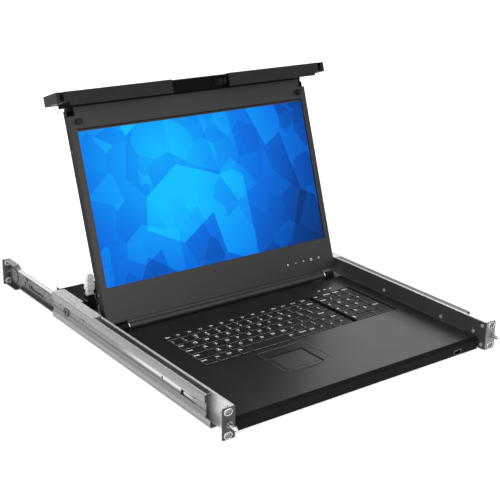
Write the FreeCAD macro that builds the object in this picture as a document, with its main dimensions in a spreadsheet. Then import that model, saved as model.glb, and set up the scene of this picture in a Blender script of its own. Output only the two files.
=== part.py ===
import FreeCAD, Part
import os
import re
import Sketcher

# Rackmount LCD console drawer: a 1U keyboard tray on ball slides with a flip-up display lid.
#
# Frame: X to the right seen from the front, Y into the rack, Z up.  The origin is the centre of
# the four front rack holes, on the front face of the flanges.  All sizes are millimetres.

Vector = FreeCAD.Vector
os.makedirs("parts", exist_ok=True)
doc = FreeCAD.newDocument("console_drawer")

# ---------------------------------------------------------------------------------------------
# Driving sizes.  Each row is one cell of the sheet with its alias.
# ---------------------------------------------------------------------------------------------
SIZES = {
    # rack interface
    "rack_width": 482.6, "unit_height": 43.0, "hole_span": 465.1, "hole_rise": 31.75,
    "hole_width": 7.0, "hole_length": 10.0, "rail_depth": 635.0, "sheet": 2.0, "thin_sheet": 1.2,
    "flange_radius": 2.0, "bracket_length": 330.0, "bracket_notch": 90.0,
    "pin_radius": 3.0, "pin_length": 19.0, "pin_collar": 4.5, "collar_length": 3.0,
    "pin_nose": 4.0, "pin_tip": 1.0, "pin_bore": 2.5,
    # fixed side walls and their screws
    "wall_outer": 222.9, "wall_front": 1.0, "wall_back": 474.0, "wall_lip": 8.0, "lip_front": 44.0,
    "screw_head": 2.4, "screw_head_height": 1.0, "screw_column": 7.3, "screw_inset": 1.0,
    "screw_front": 23.5, "screw_middle": 89.0, "screw_rear": 214.0, "screw_height": 1.0,
    "screw_rear_height": 2.5, "screw_hole": 1.3,
    # outboard support rails
    "rail_inner": 226.0, "rail_outer": 237.0, "rail_sheet": 1.5, "rail_front": 46.0,
    "rail_back": 462.0, "rail_toe": 12.0, "rail_step": 2.4, "rail_band": 10.0, "rail_corner": 2.5,
    "feature_height": 1.5, "tongue_front": 69.0, "tongue_length": 27.0, "tongue_width": 5.2,
    "tongue_gap": 1.4, "tongue_end": 7.0, "front_hole": 148.0, "front_hole_rise": 1.5,
    "rear_hole": 366.0, "rear_hole_rise": 6.0, "rail_hole": 2.0,
    "slit_front": 436.0, "slit_width": 3.0, "slit_low": 4.0, "slit_high": 8.0,
    # studs and bolts that carry the rails
    "bolt_radius": 3.0, "bolt_head": 5.6, "bolt_head_height": 1.6, "bolt_socket": 2.6,
    "socket_depth": 1.2, "stud_front": 112.0, "stud_rear": 302.0, "bolt_rear": 419.0,
    # telescoping rear brackets
    "rear_plate": 227.6, "rear_plate_height": 32.0, "rear_plate_front": 290.0,
    "rear_head_length": 38.0, "rear_taper": 10.0, "telescope_slot": 162.0, "slot_clearance": 0.5,
    "channel_sheet": 1.5, "channel_reach": 5.4, "head_reach": 8.0, "head_boss": 11.0,
    "boss_rise": 1.2, "boss_y": 611.0, "rivet_radius": 2.6, "rivet_rise": 1.4, "rivet_y": 576.0,
    "rivet_spread": 8.0, "rear_slot_y": 532.0, "rear_slot_length": 46.0, "rear_slot_width": 6.0,
    "rear_slot_drop": 4.0,
    # rear cross panel
    "panel_height": 39.0, "panel_return": 14.0, "cable_window_width": 110.0,
    "cable_window_height": 22.0, "window_offset": 110.0, "window_drop": 4.0,
    # ball slides: overall section, sheet, ball and where they start
    "slide_width": 14.0, "slide_height": 15.0, "slide_sheet": 1.2, "middle_sheet": 1.0,
    "slide_front": 42.0, "slide_length": 400.0, "slide_base": -12.3, "ball_radius": 1.2,
    "ball_gap": 0.15, "ball_hole_gap": 0.1, "cage_sheet": 0.5, "cage_length": 180.0, "bead": 0.8,
    "lip_reach": 6.2, "tip_reach": 2.2, "cage_web": 1.5, "cage_reach": 5.3,
    # keyboard tray
    "deck_top": -2.85, "deck_half": 218.0, "deck_front": 10.0, "deck_back": 313.3,
    "deck_floor": -20.85, "deck_bevel": 5.0, "deck_corner": 2.6, "side_return": 28.0,
    "pan_floor": -20.6, "pan_front": 17.0, "pan_back": 440.0, "fit_gap": 0.3,
    # keyboard
    "key_pitch": 19.05, "key_gap": 0.8, "key_taper": 1.0, "function_row": 16.0,
    "keys_left": -161.0, "keys_front": 155.0, "pad_left": 113.5, "well_margin": 0.7,
    "well_side": 3.5, "key_rise": 0.5, "key_height": 4.6, "key_travel": 2.0, "stem": 5.0,
    "stem_length": 6.0, "stem_gap": 0.25, "key_plate_sheet": 1.6, "plate_margin": 5.0,
    # touchpad
    "touch_left": -74.0, "touch_width": 58.0, "touch_front": 84.0, "touch_depth": 44.0,
    "touch_sink": 1.7, "touch_button_depth": 12.0, "touch_bulge": 6.0, "touch_margin": 8.0,
    "touch_frame_back": 145.0, "touch_recess": 0.5, "touch_gap": 0.5, "touch_sheet": 2.0,
    "touch_carrier": 4.0, "touch_button_sheet": 3.0, "touch_button_drop": 0.2,
    # indicator lights and the front port
    "light_left": 141.0, "light_pitch": 12.0, "light_y": 279.5, "light_half": 2.4,
    "light_depth": 1.0, "light_rise": 0.2,
    "port_x": 176.0, "port_z": -16.0, "port_half": 7.0, "port_rise": 3.4, "port_shell": 0.7,
    "port_depth": 12.0, "port_back": 1.5, "port_tongue": 5.5, "port_tongue_low": 0.4,
    "port_tongue_sheet": 1.6, "port_tongue_front": 2.0,
    # hinge
    "hinge_y": 321.3, "hinge_z": 1.2, "lean": 18.386, "barrel_radius": 5.0, "barrel_half": 184.0,
    "hinge_pin_radius": 2.2, "pin_clearance": 0.05, "knuckle_inner": 186.0, "knuckle_outer": 204.0,
    "barrel_bore_depth": 24.0, "neck_depth": 10.0, "foot_back": 12.0, "foot_sheet": 2.0,
    "foot_rise": 5.0, "pin_head": 1.4, "pin_end_gap": 1.0,
    # display lid, measured from the hinge axis
    "lid_half": 215.5, "lid_front": 4.5, "lid_back_face": 20.0, "bezel_depth": 5.1,
    "lid_bottom": 8.5, "lid_top": 321.5, "lid_neck_top": 325.2, "lid_neck_half": 205.0,
    "back_neck_half": 213.0, "corner_notch": 9.0, "lid_corner": 3.0, "lid_edge": 1.2,
    "lid_wall": 1.5, "bezel_lip": 1.5, "screen_width": 409.8, "screen_height": 230.4,
    "screen_bottom": 60.5, "screen_reveal": 0.6, "panel_margin": 7.0, "panel_side_margin": 2.5,
    "panel_thickness": 7.0, "panel_gap": 0.2, "bumper_radius": 4.5, "bumper_height": 8.0,
    "bumper_x": 201.0, "bumper_z": 303.5, "bumper_edge": 1.8,
    "button_radius": 2.8, "button_z": 30.5, "button_left": 120.7, "button_pitch": 16.1,
    "button_rise": 0.3, "button_depth": 3.0,
    # front bar, its finger notch and the catch
    "bar_bottom": 325.5, "bar_end_bottom": 330.5, "bar_top": 345.5, "bar_low": -22.4,
    "bar_wall": 1.5, "bar_step": 221.0, "bar_round": 0.8, "pin_slot": 7.0, "pin_slot_depth": 3.0,
    "grip_left": -51.0, "grip_right": 52.0, "grip_depth": 11.0, "liner_sheet": 1.2,
    "latch_x": 42.0, "latch_half": 14.0, "lever_low": 2.0, "lever_high": 16.0, "lever_sheet": 1.5,
    "fin_low": 5.0, "fin_high": 13.0, "fin_sheet": 1.4, "fin_left": -5.0, "fin_right": 3.4,
    "fin_sink": 2.0, "window_half": 7.0, "window_shift": 2.0, "window_edge": 1.0,
    "plate_sheet": 1.5, "plate_lift": 1.0, "plate_inset": 3.0,
    # electronics on the tray
    "box_half": 190.0, "box_front": 354.0, "box_back": 434.0, "box_height": 13.5, "box_edge": 1.5,
}

sheet = doc.addObject("Spreadsheet::Sheet", "sizes")
for row, (alias, number) in enumerate(SIZES.items(), start=1):
    sheet.set("A%d" % row, alias)
    sheet.set("B%d" % row, str(number))
    sheet.setAlias("B%d" % row, alias)
doc.recompute()

subparts = []


# ---------------------------------------------------------------------------------------------
# Helpers: expressions, sketches and features
# ---------------------------------------------------------------------------------------------
def bound(text):
    """Write a size expression with every alias pointing at the sheet."""
    return re.sub(r"[a-z_]+\w*", lambda m: "sizes." + m.group() if m.group() in SIZES else m.group(),
                  str(text))


def size(text):
    """Value of a size expression."""
    result = sheet.evalExpression(bound(text))
    return float(getattr(result, "Value", result))


def keep(thing, label):
    """Name a finished sub-part and list it for export."""
    thing.Label = label
    subparts.append(thing)
    return thing


def place(thing, x="0", y="0", z="0"):
    for axis, text in (("x", x), ("y", y), ("z", z)):
        thing.setExpression("Placement.Base." + axis, bound(text))
    return thing


def new_body(label, kept=True):
    body = doc.addObject("PartDesign::Body", label)
    body.AllowCompound = True
    body.Label = label
    return keep(body, label) if kept else body


def new_sketch(body, role, offset="0"):
    """Sketch on one of the body's own origin planes, moved along the plane's normal."""
    sketch = body.newObject("Sketcher::SketchObject", body.Label + "_outline")
    plane = [p for p in body.Origin.OriginFeatures if p.Role == role][0]
    sketch.AttachmentSupport = (plane, [""])
    sketch.MapMode = "FlatFace"
    sketch.setExpression("AttachmentOffset.Base.z", bound(offset))
    return sketch


def fix_points(sketch, places):
    """Hold sketch points at (x, y), each number bound to the sheet."""
    texts = [text for _, _, corner in places for text in corner]
    held = [Sketcher.Constraint(kind, -1, 1, geometry, position, size(text))
            for geometry, position, corner in places
            for kind, text in zip(("DistanceX", "DistanceY"), corner)]
    first = sketch.ConstraintCount
    sketch.addConstraint(held)
    for number, text in enumerate(texts, start=first):
        sketch.setExpression("Constraints[%d]" % number, bound(text))


def fix_point(sketch, geometry, position, corner):
    fix_points(sketch, [(geometry, position, corner)])


def polygon(sketch, corners):
    """Closed outline through the corners, each an (x, y) pair of expressions."""
    first = sketch.GeometryCount
    points = [Vector(size(x), size(y), 0) for x, y in corners]
    count = len(points)
    sketch.addGeometry([Part.LineSegment(points[i], points[(i + 1) % count]) for i in range(count)])
    sketch.addConstraint([Sketcher.Constraint("Coincident", first + i, 2, first + (i + 1) % count, 1)
                          for i in range(count)])
    fix_points(sketch, [(first + i, 1, corner) for i, corner in enumerate(corners)])


def rectangle(sketch, left, low, right, high):
    polygon(sketch, [(left, low), (right, low), (right, high), (left, high)])


def circle(sketch, centre, radius):
    number = sketch.addGeometry(
        Part.Circle(Vector(size(centre[0]), size(centre[1]), 0), Vector(0, 0, 1), size(radius)))
    fix_point(sketch, number, 3, centre)
    limit = sketch.addConstraint(Sketcher.Constraint("Radius", number, size(radius)))
    sketch.setExpression("Constraints[%d]" % limit, bound(radius))


def slot(sketch, centre, length, width):
    """Round-ended slot along the sketch's x axis."""
    half = "((%s) - (%s)) / 2" % (length, width)
    ends = [("(%s) - %s" % (centre[0], half), centre[1]), ("(%s) + %s" % (centre[0], half), centre[1])]
    radius = size(width) / 2
    left, right = [Vector(size(x), size(y), 0) for x, y in ends]
    up = Vector(0, radius, 0)
    arc_left = sketch.addGeometry(Part.Arc(left + up, left - Vector(radius, 0, 0), left - up))
    arc_right = sketch.addGeometry(Part.Arc(right - up, right + Vector(radius, 0, 0), right + up))
    line_low = sketch.addGeometry(Part.LineSegment(left - up, right - up))
    line_high = sketch.addGeometry(Part.LineSegment(right + up, left + up))
    for a, at, b, bt in ((arc_left, 2, line_low, 1), (line_low, 2, arc_right, 1),
                         (arc_right, 2, line_high, 1), (line_high, 2, arc_left, 1)):
        sketch.addConstraint(Sketcher.Constraint("Tangent", a, at, b, bt))
    fix_point(sketch, arc_left, 3, ends[0])
    fix_point(sketch, arc_right, 3, ends[1])
    limit = sketch.addConstraint(Sketcher.Constraint("Radius", arc_left, radius))
    sketch.setExpression("Constraints[%d]" % limit, bound("(%s) / 2" % width))


def pad(body, sketch, length, symmetric=False, reverse=False):
    feature = body.newObject("PartDesign::Pad", body.Label + "_pad")
    feature.Profile = sketch
    feature.setExpression("Length", bound(length))
    feature.Midplane = symmetric
    feature.Reversed = reverse
    doc.recompute()
    return feature


def pocket(body, sketch, depth=None, reverse=False, symmetric=False):
    """Cut to a depth, or through everything both ways when no depth is given."""
    before = body.Shape.Volume
    feature = body.newObject("PartDesign::Pocket", body.Label + "_cut")
    feature.Profile = sketch
    if depth is None:
        feature.Type = "ThroughAll"
        feature.Midplane = True
    else:
        feature.setExpression("Length", bound(depth))
        feature.Midplane = symmetric
        feature.Reversed = reverse
    doc.recompute()
    if not body.Shape.Volume < before - 1e-6:
        raise RuntimeError(body.Label + ": a pocket removes nothing")
    return feature


def edges_where(body, test):
    """Names of the tip's edges whose middle point and length vector pass the test."""
    names = []
    for number, edge in enumerate(body.Tip.Shape.Edges, start=1):
        ends = edge.Vertexes[-1].Point - edge.Vertexes[0].Point
        if test(edge.CenterOfMass, ends):
            names.append("Edge%d" % number)
    return names


def round_edges(body, test, radius, kind="Fillet"):
    feature_base = body.Tip
    names = edges_where(body, test)
    if not names:
        raise RuntimeError(body.Label + ": no edges to round")
    feature = body.newObject("PartDesign::" + kind, body.Label + "_edge")
    feature.Base = (feature_base, names)
    feature.setExpression("Radius" if kind == "Fillet" else "Size", bound(radius))
    doc.recompute()
    return feature


def mirrored(label, source):
    """Left-hand copy of a right-hand piece."""
    feature = doc.addObject("Part::Mirroring", label)
    feature.Source = source
    feature.Normal = Vector(1, 0, 0)
    return keep(feature, label)


def turned(label, profile, spot, heading):
    """Body of revolution from (radius, height) pairs, stood on a spot along its heading."""
    body = new_body(label, kept=False)
    sketch = new_sketch(body, "XZ_Plane")
    polygon(sketch, profile)
    feature = body.newObject("PartDesign::Revolution", label + "_turn")
    feature.Profile = sketch
    feature.ReferenceAxis = (sketch, ["V_Axis"])
    feature.Angle = 360
    doc.recompute()
    body.Placement.Rotation = FreeCAD.Rotation(Vector(0, 0, 1), heading)
    return place(body, *spot)


def paired(label, pieces):
    """One node of right-hand pieces and their mirror images."""
    right = doc.addObject("Part::Compound", label + "_right")
    right.Links = pieces
    left = doc.addObject("Part::Mirroring", label + "_left")
    left.Source = right
    left.Normal = Vector(1, 0, 0)
    both = doc.addObject("Part::Compound", label)
    both.Links = [right, left]
    return keep(both, label)


def on_lid(thing):
    """Pieces of the lid are drawn upright about the hinge axis and then leaned back."""
    thing.Placement = FreeCAD.Placement(Vector(), FreeCAD.Rotation(Vector(1, 0, 0), -size("lean")))
    thing.setExpression("Placement.Rotation.Angle", bound("-lean"))
    return place(thing, "0", "hinge_y", "hinge_z")


# ---------------------------------------------------------------------------------------------
# Fixed frame: flanged front brackets, black side walls, support rails, rear brackets, rear panel
# ---------------------------------------------------------------------------------------------
def front_bracket():
    """Sheet angle: the flange faces the rack post, the leg runs back beside the wall."""
    body = new_body("front_bracket_right")
    sketch = new_sketch(body, "XY_Plane")
    polygon(sketch, [("wall_outer", "0"), ("rack_width / 2", "0"), ("rack_width / 2", "sheet"),
                     ("wall_outer + sheet", "sheet"), ("wall_outer + sheet", "bracket_length"),
                     ("wall_outer", "bracket_length")])
    pad(body, sketch, "unit_height", symmetric=True)
    sketch = new_sketch(body, "XZ_Plane")
    for row in ("hole_rise / 2", "-hole_rise / 2"):
        slot(sketch, ("hole_span / 2", row), "hole_length", "hole_width")
    circle(sketch, ("hole_span / 2", "0"), "pin_bore")
    pocket(body, sketch, "sheet", reverse=False)
    sketch = new_sketch(body, "YZ_Plane", "wall_outer")
    rectangle(sketch, "bracket_length - bracket_notch", "-unit_height / 2", "bracket_length + 1",
              "-unit_height / 4")
    for row in ("hole_rise / 2 - screw_inset", "-hole_rise / 2 + screw_inset"):
        circle(sketch, ("screw_column", row), "screw_hole")
    pocket(body, sketch, "sheet", reverse=True)
    half = size("rack_width / 2")
    round_edges(body, lambda c, d: c.x > half - 0.1 and abs(d.y) > 1 and c.y < size("sheet"),
                "flange_radius")
    mirrored("front_bracket_left", body)


def side_wall():
    """Black inner wall with a lip turned in under the ball slide."""
    body = new_body("side_wall_right")
    sketch = new_sketch(body, "XZ_Plane")
    polygon(sketch, [("wall_outer", "-unit_height / 2"), ("wall_outer", "unit_height / 2"),
                     ("wall_outer - thin_sheet", "unit_height / 2"),
                     ("wall_outer - thin_sheet", "-unit_height / 2 + thin_sheet"),
                     ("wall_outer - thin_sheet - wall_lip", "-unit_height / 2 + thin_sheet"),
                     ("wall_outer - thin_sheet - wall_lip", "-unit_height / 2")])
    pad(body, sketch, "wall_back - wall_front", reverse=True)
    place(body, "0", "wall_front", "0")
    sketch = new_sketch(body, "XY_Plane", "-unit_height / 2")
    rectangle(sketch, "wall_outer - thin_sheet - wall_lip - 1", "-1", "wall_outer - thin_sheet",
              "lip_front - wall_front")
    pocket(body, sketch, "thin_sheet + 0.001", reverse=True)
    mirrored("side_wall_left", body)


def support_rail():
    """Outboard channel: two raised bands joined by a recessed web, open towards the wall."""
    body = new_body("support_rail_right")
    top = "unit_height / 2"
    bend = "rail_sheet * 0.41"
    outer = [("rail_inner", top), ("rail_outer - rail_corner", top),
             ("rail_outer", top + " - rail_corner"), ("rail_outer", "rail_band"),
             ("rail_outer - rail_step", "rail_band - rail_step")]
    inner = [("rail_inner", top + " - rail_sheet"),
             ("rail_outer - rail_corner - " + bend, top + " - rail_sheet"),
             ("rail_outer - rail_sheet", top + " - rail_corner - " + bend),
             ("rail_outer - rail_sheet", "rail_band + " + bend),
             ("rail_outer - rail_step - rail_sheet", "rail_band - rail_step + " + bend)]

    def below(points):
        return [(x, "-(%s)" % z) for x, z in points]

    sketch = new_sketch(body, "XZ_Plane")
    polygon(sketch, outer + list(reversed(below(outer))) + below(inner) + list(reversed(inner)))
    pad(body, sketch, "rail_back - rail_front + rail_toe", reverse=True)
    start = "(rail_front - rail_toe)"
    place(body, "0", start, "0")
    # the upper part stops short of the lower toe at the front
    sketch = new_sketch(body, "YZ_Plane", "rail_inner - 1")
    rectangle(sketch, "-1", "-rail_band", "rail_toe", "unit_height / 2 + 1")
    pocket(body, sketch, "rail_outer - rail_inner + 2", reverse=True)
    # spring tongue cut free on three sides, two inspection holes, a slit and the bolt's hole
    sketch = new_sketch(body, "YZ_Plane", "rail_inner - 1")
    front = "tongue_front - " + start
    side = "tongue_width / 2"
    edge = "tongue_width / 2 + tongue_gap"
    tip = "%s + tongue_length" % front
    end = tip + " + tongue_end"
    polygon(sketch, [(y, "feature_height + " + z) for y, z in (
        (front, side), (tip, side), (tip, "(-%s)" % side), (front, "(-%s)" % side),
        (front, "-(%s)" % edge), (end, "-(%s)" % edge), (end, edge), (front, edge))])
    circle(sketch, ("front_hole - " + start, "feature_height + front_hole_rise"), "rail_hole")
    circle(sketch, ("rear_hole - " + start, "feature_height + rear_hole_rise"), "rail_hole")
    circle(sketch, ("bolt_rear - " + start, "feature_height"), "bolt_radius + fit_gap")
    rectangle(sketch, "slit_front - " + start, "feature_height + slit_low",
              "slit_front + slit_width - " + start, "feature_height + slit_high")
    pocket(body, sketch, "rail_outer - rail_inner + 2", reverse=True)
    mirrored("support_rail_left", body)


def rear_bracket():
    """Shallow channel that telescopes inside the rail and ends in the rear rack flange."""
    body = new_body("rear_bracket_right")
    high = "rear_plate_height / 2"
    low = "-rear_plate_height / 2"
    head = "(rail_depth - rear_head_length)"
    neck = "(%s - rear_taper)" % head
    sketch = new_sketch(body, "YZ_Plane", "rear_plate")
    polygon(sketch, [("rear_plate_front", low), (neck, low), (head, "-unit_height / 2"),
                     ("rail_depth", "-unit_height / 2"), ("rail_depth", "unit_height / 2"),
                     (head, "unit_height / 2"), (neck, high), ("rear_plate_front", high)])
    pad(body, sketch, "sheet")
    # folded edges of the sliding part and of the taller head
    sketch = new_sketch(body, "YZ_Plane", "rear_plate + sheet / 2")
    rectangle(sketch, "rear_plate_front", high + " - channel_sheet", neck, high)
    rectangle(sketch, "rear_plate_front", low, neck, low + " + channel_sheet")
    pad(body, sketch, "channel_reach + sheet / 2")
    sketch = new_sketch(body, "YZ_Plane", "rear_plate + sheet / 2")
    rectangle(sketch, head, "unit_height / 2 - channel_sheet", "rail_depth", "unit_height / 2")
    rectangle(sketch, head, "-unit_height / 2", "rail_depth", "-unit_height / 2 + channel_sheet")
    pad(body, sketch, "head_reach + sheet / 2")
    # embossed disc on the head and the rivets of the catch behind it
    sketch = new_sketch(body, "YZ_Plane", "rear_plate + sheet / 2")
    circle(sketch, ("boss_y", "0"), "head_boss")
    pad(body, sketch, "boss_rise + sheet / 2")
    sketch = new_sketch(body, "YZ_Plane", "rear_plate + sheet / 2")
    for along, up in (("rivet_y", "-rivet_spread / 2"), ("rivet_y - rivet_spread", "rivet_spread / 2"),
                      ("rivet_y - 2 * rivet_spread", "-rivet_spread / 2")):
        circle(sketch, (along, up), "rivet_radius")
    pad(body, sketch, "rivet_rise + sheet / 2")
    sketch = new_sketch(body, "XY_Plane")
    rectangle(sketch, "rear_plate", "rail_depth - sheet", "rack_width / 2", "rail_depth")
    pad(body, sketch, "unit_height", symmetric=True)
    sketch = new_sketch(body, "XZ_Plane", "-rail_depth")
    for row in ("hole_rise / 2", "-hole_rise / 2"):
        slot(sketch, ("hole_span / 2", row), "hole_length", "hole_width")
    circle(sketch, ("hole_span / 2", "0"), "pin_bore")
    pocket(body, sketch, "sheet", reverse=True)
    sketch = new_sketch(body, "YZ_Plane", "rear_plate")
    slot(sketch, ("(rear_plate_front + rail_back) / 2", "feature_height"), "telescope_slot",
         "2 * bolt_radius + 2 * slot_clearance")
    slot(sketch, ("rear_slot_y", "-rear_slot_drop"), "rear_slot_length", "rear_slot_width")
    pocket(body, sketch, "sheet", reverse=True)
    mirrored("rear_bracket_left", body)


def rear_panel():
    """Black cross member that ties the two side walls and passes the cables."""
    body = new_body("rear_panel")
    inner = "wall_outer - thin_sheet"
    sketch = new_sketch(body, "XY_Plane", "-unit_height / 2")
    polygon(sketch, [("-(%s)" % inner, "-panel_return"), ("-(%s) + thin_sheet" % inner, "-panel_return"),
                     ("-(%s) + thin_sheet" % inner, "-thin_sheet"),
                     ("%s - thin_sheet" % inner, "-thin_sheet"),
                     ("%s - thin_sheet" % inner, "-panel_return"), (inner, "-panel_return"),
                     (inner, "0"), ("-(%s)" % inner, "0")])
    pad(body, sketch, "panel_height")
    place(body, "0", "wall_back", "0")
    sketch = new_sketch(body, "XZ_Plane")
    for centre in ("-window_offset", "window_offset"):
        rectangle(sketch, centre + " - cable_window_width / 2", "-cable_window_height / 2 - window_drop",
                  centre + " + cable_window_width / 2", "cable_window_height / 2 - window_drop")
    pocket(body, sketch)
    # the side wall's bottom lip passes under the panel's ends
    sketch = new_sketch(body, "XZ_Plane")
    for side in ("", "-"):
        rectangle(sketch, side + "(%s + 1)" % inner, "-unit_height / 2 - 1",
                  side + "(%s - wall_lip - fit_gap)" % inner,
                  "-unit_height / 2 + thin_sheet + pin_clearance")
    pocket(body, sketch)


def locating_pins():
    """Stepped pins with conical noses, riveted through the flanges, front and rear."""
    profile = [("0", "-sheet"), ("pin_bore", "-sheet"), ("pin_bore", "0"), ("pin_collar", "0"),
               ("pin_collar", "collar_length"), ("pin_radius", "collar_length"),
               ("pin_radius", "pin_length - pin_nose"), ("pin_tip", "pin_length"), ("0", "pin_length")]
    paired("locating_pins", [
        turned("front_pin", profile, ("hole_span / 2", "0", "0"), Vector(0, -1, 0)),
        turned("rear_pin", profile, ("hole_span / 2", "rail_depth", "0"), Vector(0, 1, 0))])


def wall_screws():
    """Low heads of the screws that hold the black walls to the brackets beside them."""
    profile = [("0", "0"), ("screw_head", "0"), ("screw_head", "screw_head_height"),
               ("0", "screw_head_height")]
    spots = [("screw_column", "hole_rise / 2 - screw_inset"),
             ("screw_column", "-hole_rise / 2 + screw_inset"), ("screw_front", "screw_height"),
             ("screw_middle", "screw_height"), ("screw_rear", "screw_rear_height")]
    paired("wall_screws", [
        turned("wall_screw", profile, ("wall_outer - thin_sheet", along, height), Vector(-1, 0, 0))
        for along, height in spots])


def rail_bolts():
    """Studs between the bracket and the rail, and the socket bolt the rear bracket slides on."""
    web = "rail_outer - rail_step"
    stud = "(%s - rail_sheet - wall_outer - sheet)" % web
    profile = [("0", "0"), ("bolt_radius", "0"), ("bolt_radius", stud), ("0", stud)]
    pieces = [turned("rail_stud", profile, ("wall_outer + sheet", along, "feature_height"),
                     Vector(1, 0, 0)) for along in ("stud_front", "stud_rear")]
    neck = "(%s - wall_outer)" % web
    top = neck + " + bolt_head_height"
    profile = [("0", "0"), ("bolt_radius", "0"), ("bolt_radius", neck), ("bolt_head", neck),
               ("bolt_head * 0.8", top), ("bolt_socket", top), ("bolt_socket", top + " - socket_depth"),
               ("0", top + " - socket_depth")]
    pieces.append(turned("rail_bolt", profile, ("wall_outer", "bolt_rear", "feature_height"),
                         Vector(1, 0, 0)))
    paired("rail_bolts", pieces)


# ---------------------------------------------------------------------------------------------
# Ball slides.  Section axes: u from the wall towards the tray, w up from the slide's centre.
# ---------------------------------------------------------------------------------------------
SLIDE_WALL = "wall_outer - thin_sheet"
BALL_HEIGHT = "(slide_height / 2 - slide_sheet - ball_gap - ball_radius)"
FLANGE_TOP = "(%s - ball_radius - ball_gap)" % BALL_HEIGHT


def both_ways(points):
    """Add the lower half of a section that is symmetric about w = 0."""
    return points + [(u, "-(%s)" % w) for u, w in reversed(points)]


def slide_member(label, corners, inboard, length="slide_length", front="slide_front", kept=True):
    """Extrude a slide section along Y.  Inboard sections are turned round to face the wall."""
    body = new_body(label, kept)
    sketch = new_sketch(body, "XZ_Plane")
    turn = "%s - (slide_width - (%s))" if inboard else "%s - (%s)"
    polygon(sketch, [(turn % (SLIDE_WALL, u), w) for u, w in corners])
    pad(body, sketch, length, reverse=True)
    place(body, "0", front, "slide_base")
    return body


def outer_section():
    """C section with a bead at each lip that keeps the balls in."""
    top = "slide_height / 2"
    under = "slide_height / 2 - slide_sheet"
    return both_ways([("slide_sheet", under), ("lip_reach - bead", under),
                      ("lip_reach - bead", under + " - bead"), ("lip_reach", under + " - bead"),
                      ("lip_reach", top), ("0", top)])


def middle_section():
    """Two shallow channels back to back on one web."""
    top = FLANGE_TOP
    web = "slide_width / 2 - middle_sheet / 2"
    back = "slide_width / 2 + middle_sheet / 2"
    far = "slide_width - tip_reach"
    inner = "%s - middle_sheet" % top
    upper = [("tip_reach", inner), (web, inner)]
    rest = [("tip_reach", top + " + bead"), ("tip_reach + bead * 0.8", top + " + bead"),
            ("tip_reach + bead * 0.8", top), (far + " - bead * 0.8", top),
            (far + " - bead * 0.8", top + " + bead"), (far, top + " + bead"), (far, inner),
            (back, inner)]
    upper_side = list(reversed(upper)) + rest
    lower_side = [(u, "-(%s)" % w) for u, w in reversed(upper_side)]
    return upper_side + lower_side


def cage_section():
    """Thin channel whose lips carry the balls."""
    top = "(%s + cage_sheet / 2)" % BALL_HEIGHT
    low = "(%s - cage_sheet / 2)" % BALL_HEIGHT
    return both_ways([("cage_web + cage_sheet", low), ("cage_reach", low), ("cage_reach", top),
                      ("cage_web", top)])


def ball_cage(label, inboard):
    """Cage with its balls: the balls sit in holes punched through the lips."""
    front = "slide_front + (slide_length - cage_length) / 2"
    body = slide_member(label + "_strip", cage_section(), inboard, "cage_length", front, kept=False)
    ball_u = "(cage_web + cage_sheet + cage_reach) / 2 + bead * 0.6"
    turn = "%s - slide_width + (%s)" if inboard else "%s - (%s)"
    across = turn % (SLIDE_WALL, ball_u)
    sketch = new_sketch(body, "XY_Plane")
    circle(sketch, (across, "cage_length / 2"), "ball_radius + ball_hole_gap")
    pocket(body, sketch)
    pieces = [body]
    for side in ("", "-"):
        ball = doc.addObject("Part::Sphere", "ball")
        ball.setExpression("Radius", bound("ball_radius"))
        place(ball, across, "%s + cage_length / 2" % front, "slide_base + %s%s" % (side, BALL_HEIGHT))
        pieces.append(ball)
    group = doc.addObject("Part::Compound", label)
    group.Links = pieces
    return keep(group, label)


def ball_slides():
    for name, corners, inboard in (("slide_outer", outer_section(), False),
                                   ("slide_middle", middle_section(), False),
                                   ("slide_inner", outer_section(), True)):
        body = slide_member(name + "_right", corners, inboard)
        mirrored(name + "_left", body)
    for name, inboard in (("ball_cage_outer", False), ("ball_cage_inner", True)):
        body = ball_cage(name + "_right", inboard)
        mirrored(name + "_left", body)


# ---------------------------------------------------------------------------------------------
# Keyboard tray: pan, deck, keyboard, touchpad, lights, port and electronics
# ---------------------------------------------------------------------------------------------
PAN_HALF = "(wall_outer - thin_sheet - slide_width)"
PAN_TOP = "(deck_top - thin_sheet)"
ROW_LOW = ["keys_front + key_pitch * %d" % k for k in range(6)] + \
          ["keys_front + key_pitch * 5 + function_row"]
KEY_TOP = "(deck_top + key_rise)"
KEY_BOTTOM = "(deck_top + key_rise - key_height)"
PLATE_TOP = "(deck_top + key_rise - key_height - key_travel - fit_gap)"
PLATE_LEFT = "(keys_left - plate_margin)"
PLATE_RIGHT = "(pad_left + key_pitch * 4 + plate_margin)"
LIGHTS = ["(light_left + light_pitch * %d)" % k for k in range(3)]

# key widths in pitches, front row first: main block, then the number pad
MAIN_ROWS = [
    [1.25, 1, 1, 1, 3.75, 1, 1, 1, 1, 1, 1],
    [2] + [1] * 10 + [1, 1],
    [1.5] + [1] * 11 + [1.5],
    [1.25] + [1] * 12 + [0.75],
    [1] * 14,
    [1] * 14,
]
PAD_ROWS = [[2, 1], [1, 1, 1], [1, 1, 1], [1, 1, 1], [1, 1, 1, 1], [1, 1, 1, 1]]


def drawer_pan():
    body = new_body("drawer_pan")
    sketch = new_sketch(body, "XZ_Plane")
    half = PAN_HALF
    inside = "(%s - thin_sheet)" % PAN_HALF
    floor = "pan_floor + thin_sheet"
    polygon(sketch, [("-" + half, "pan_floor"), (half, "pan_floor"), (half, PAN_TOP), (inside, PAN_TOP),
                     (inside, floor), ("-" + inside, floor), ("-" + inside, PAN_TOP),
                     ("-" + half, PAN_TOP)])
    pad(body, sketch, "pan_back - pan_front", reverse=True)
    sketch = new_sketch(body, "XZ_Plane", "-(pan_back - pan_front)")
    rectangle(sketch, "-" + inside, floor, inside, PAN_TOP)
    pad(body, sketch, "thin_sheet")
    place(body, "0", "pan_front", "0")


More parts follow.
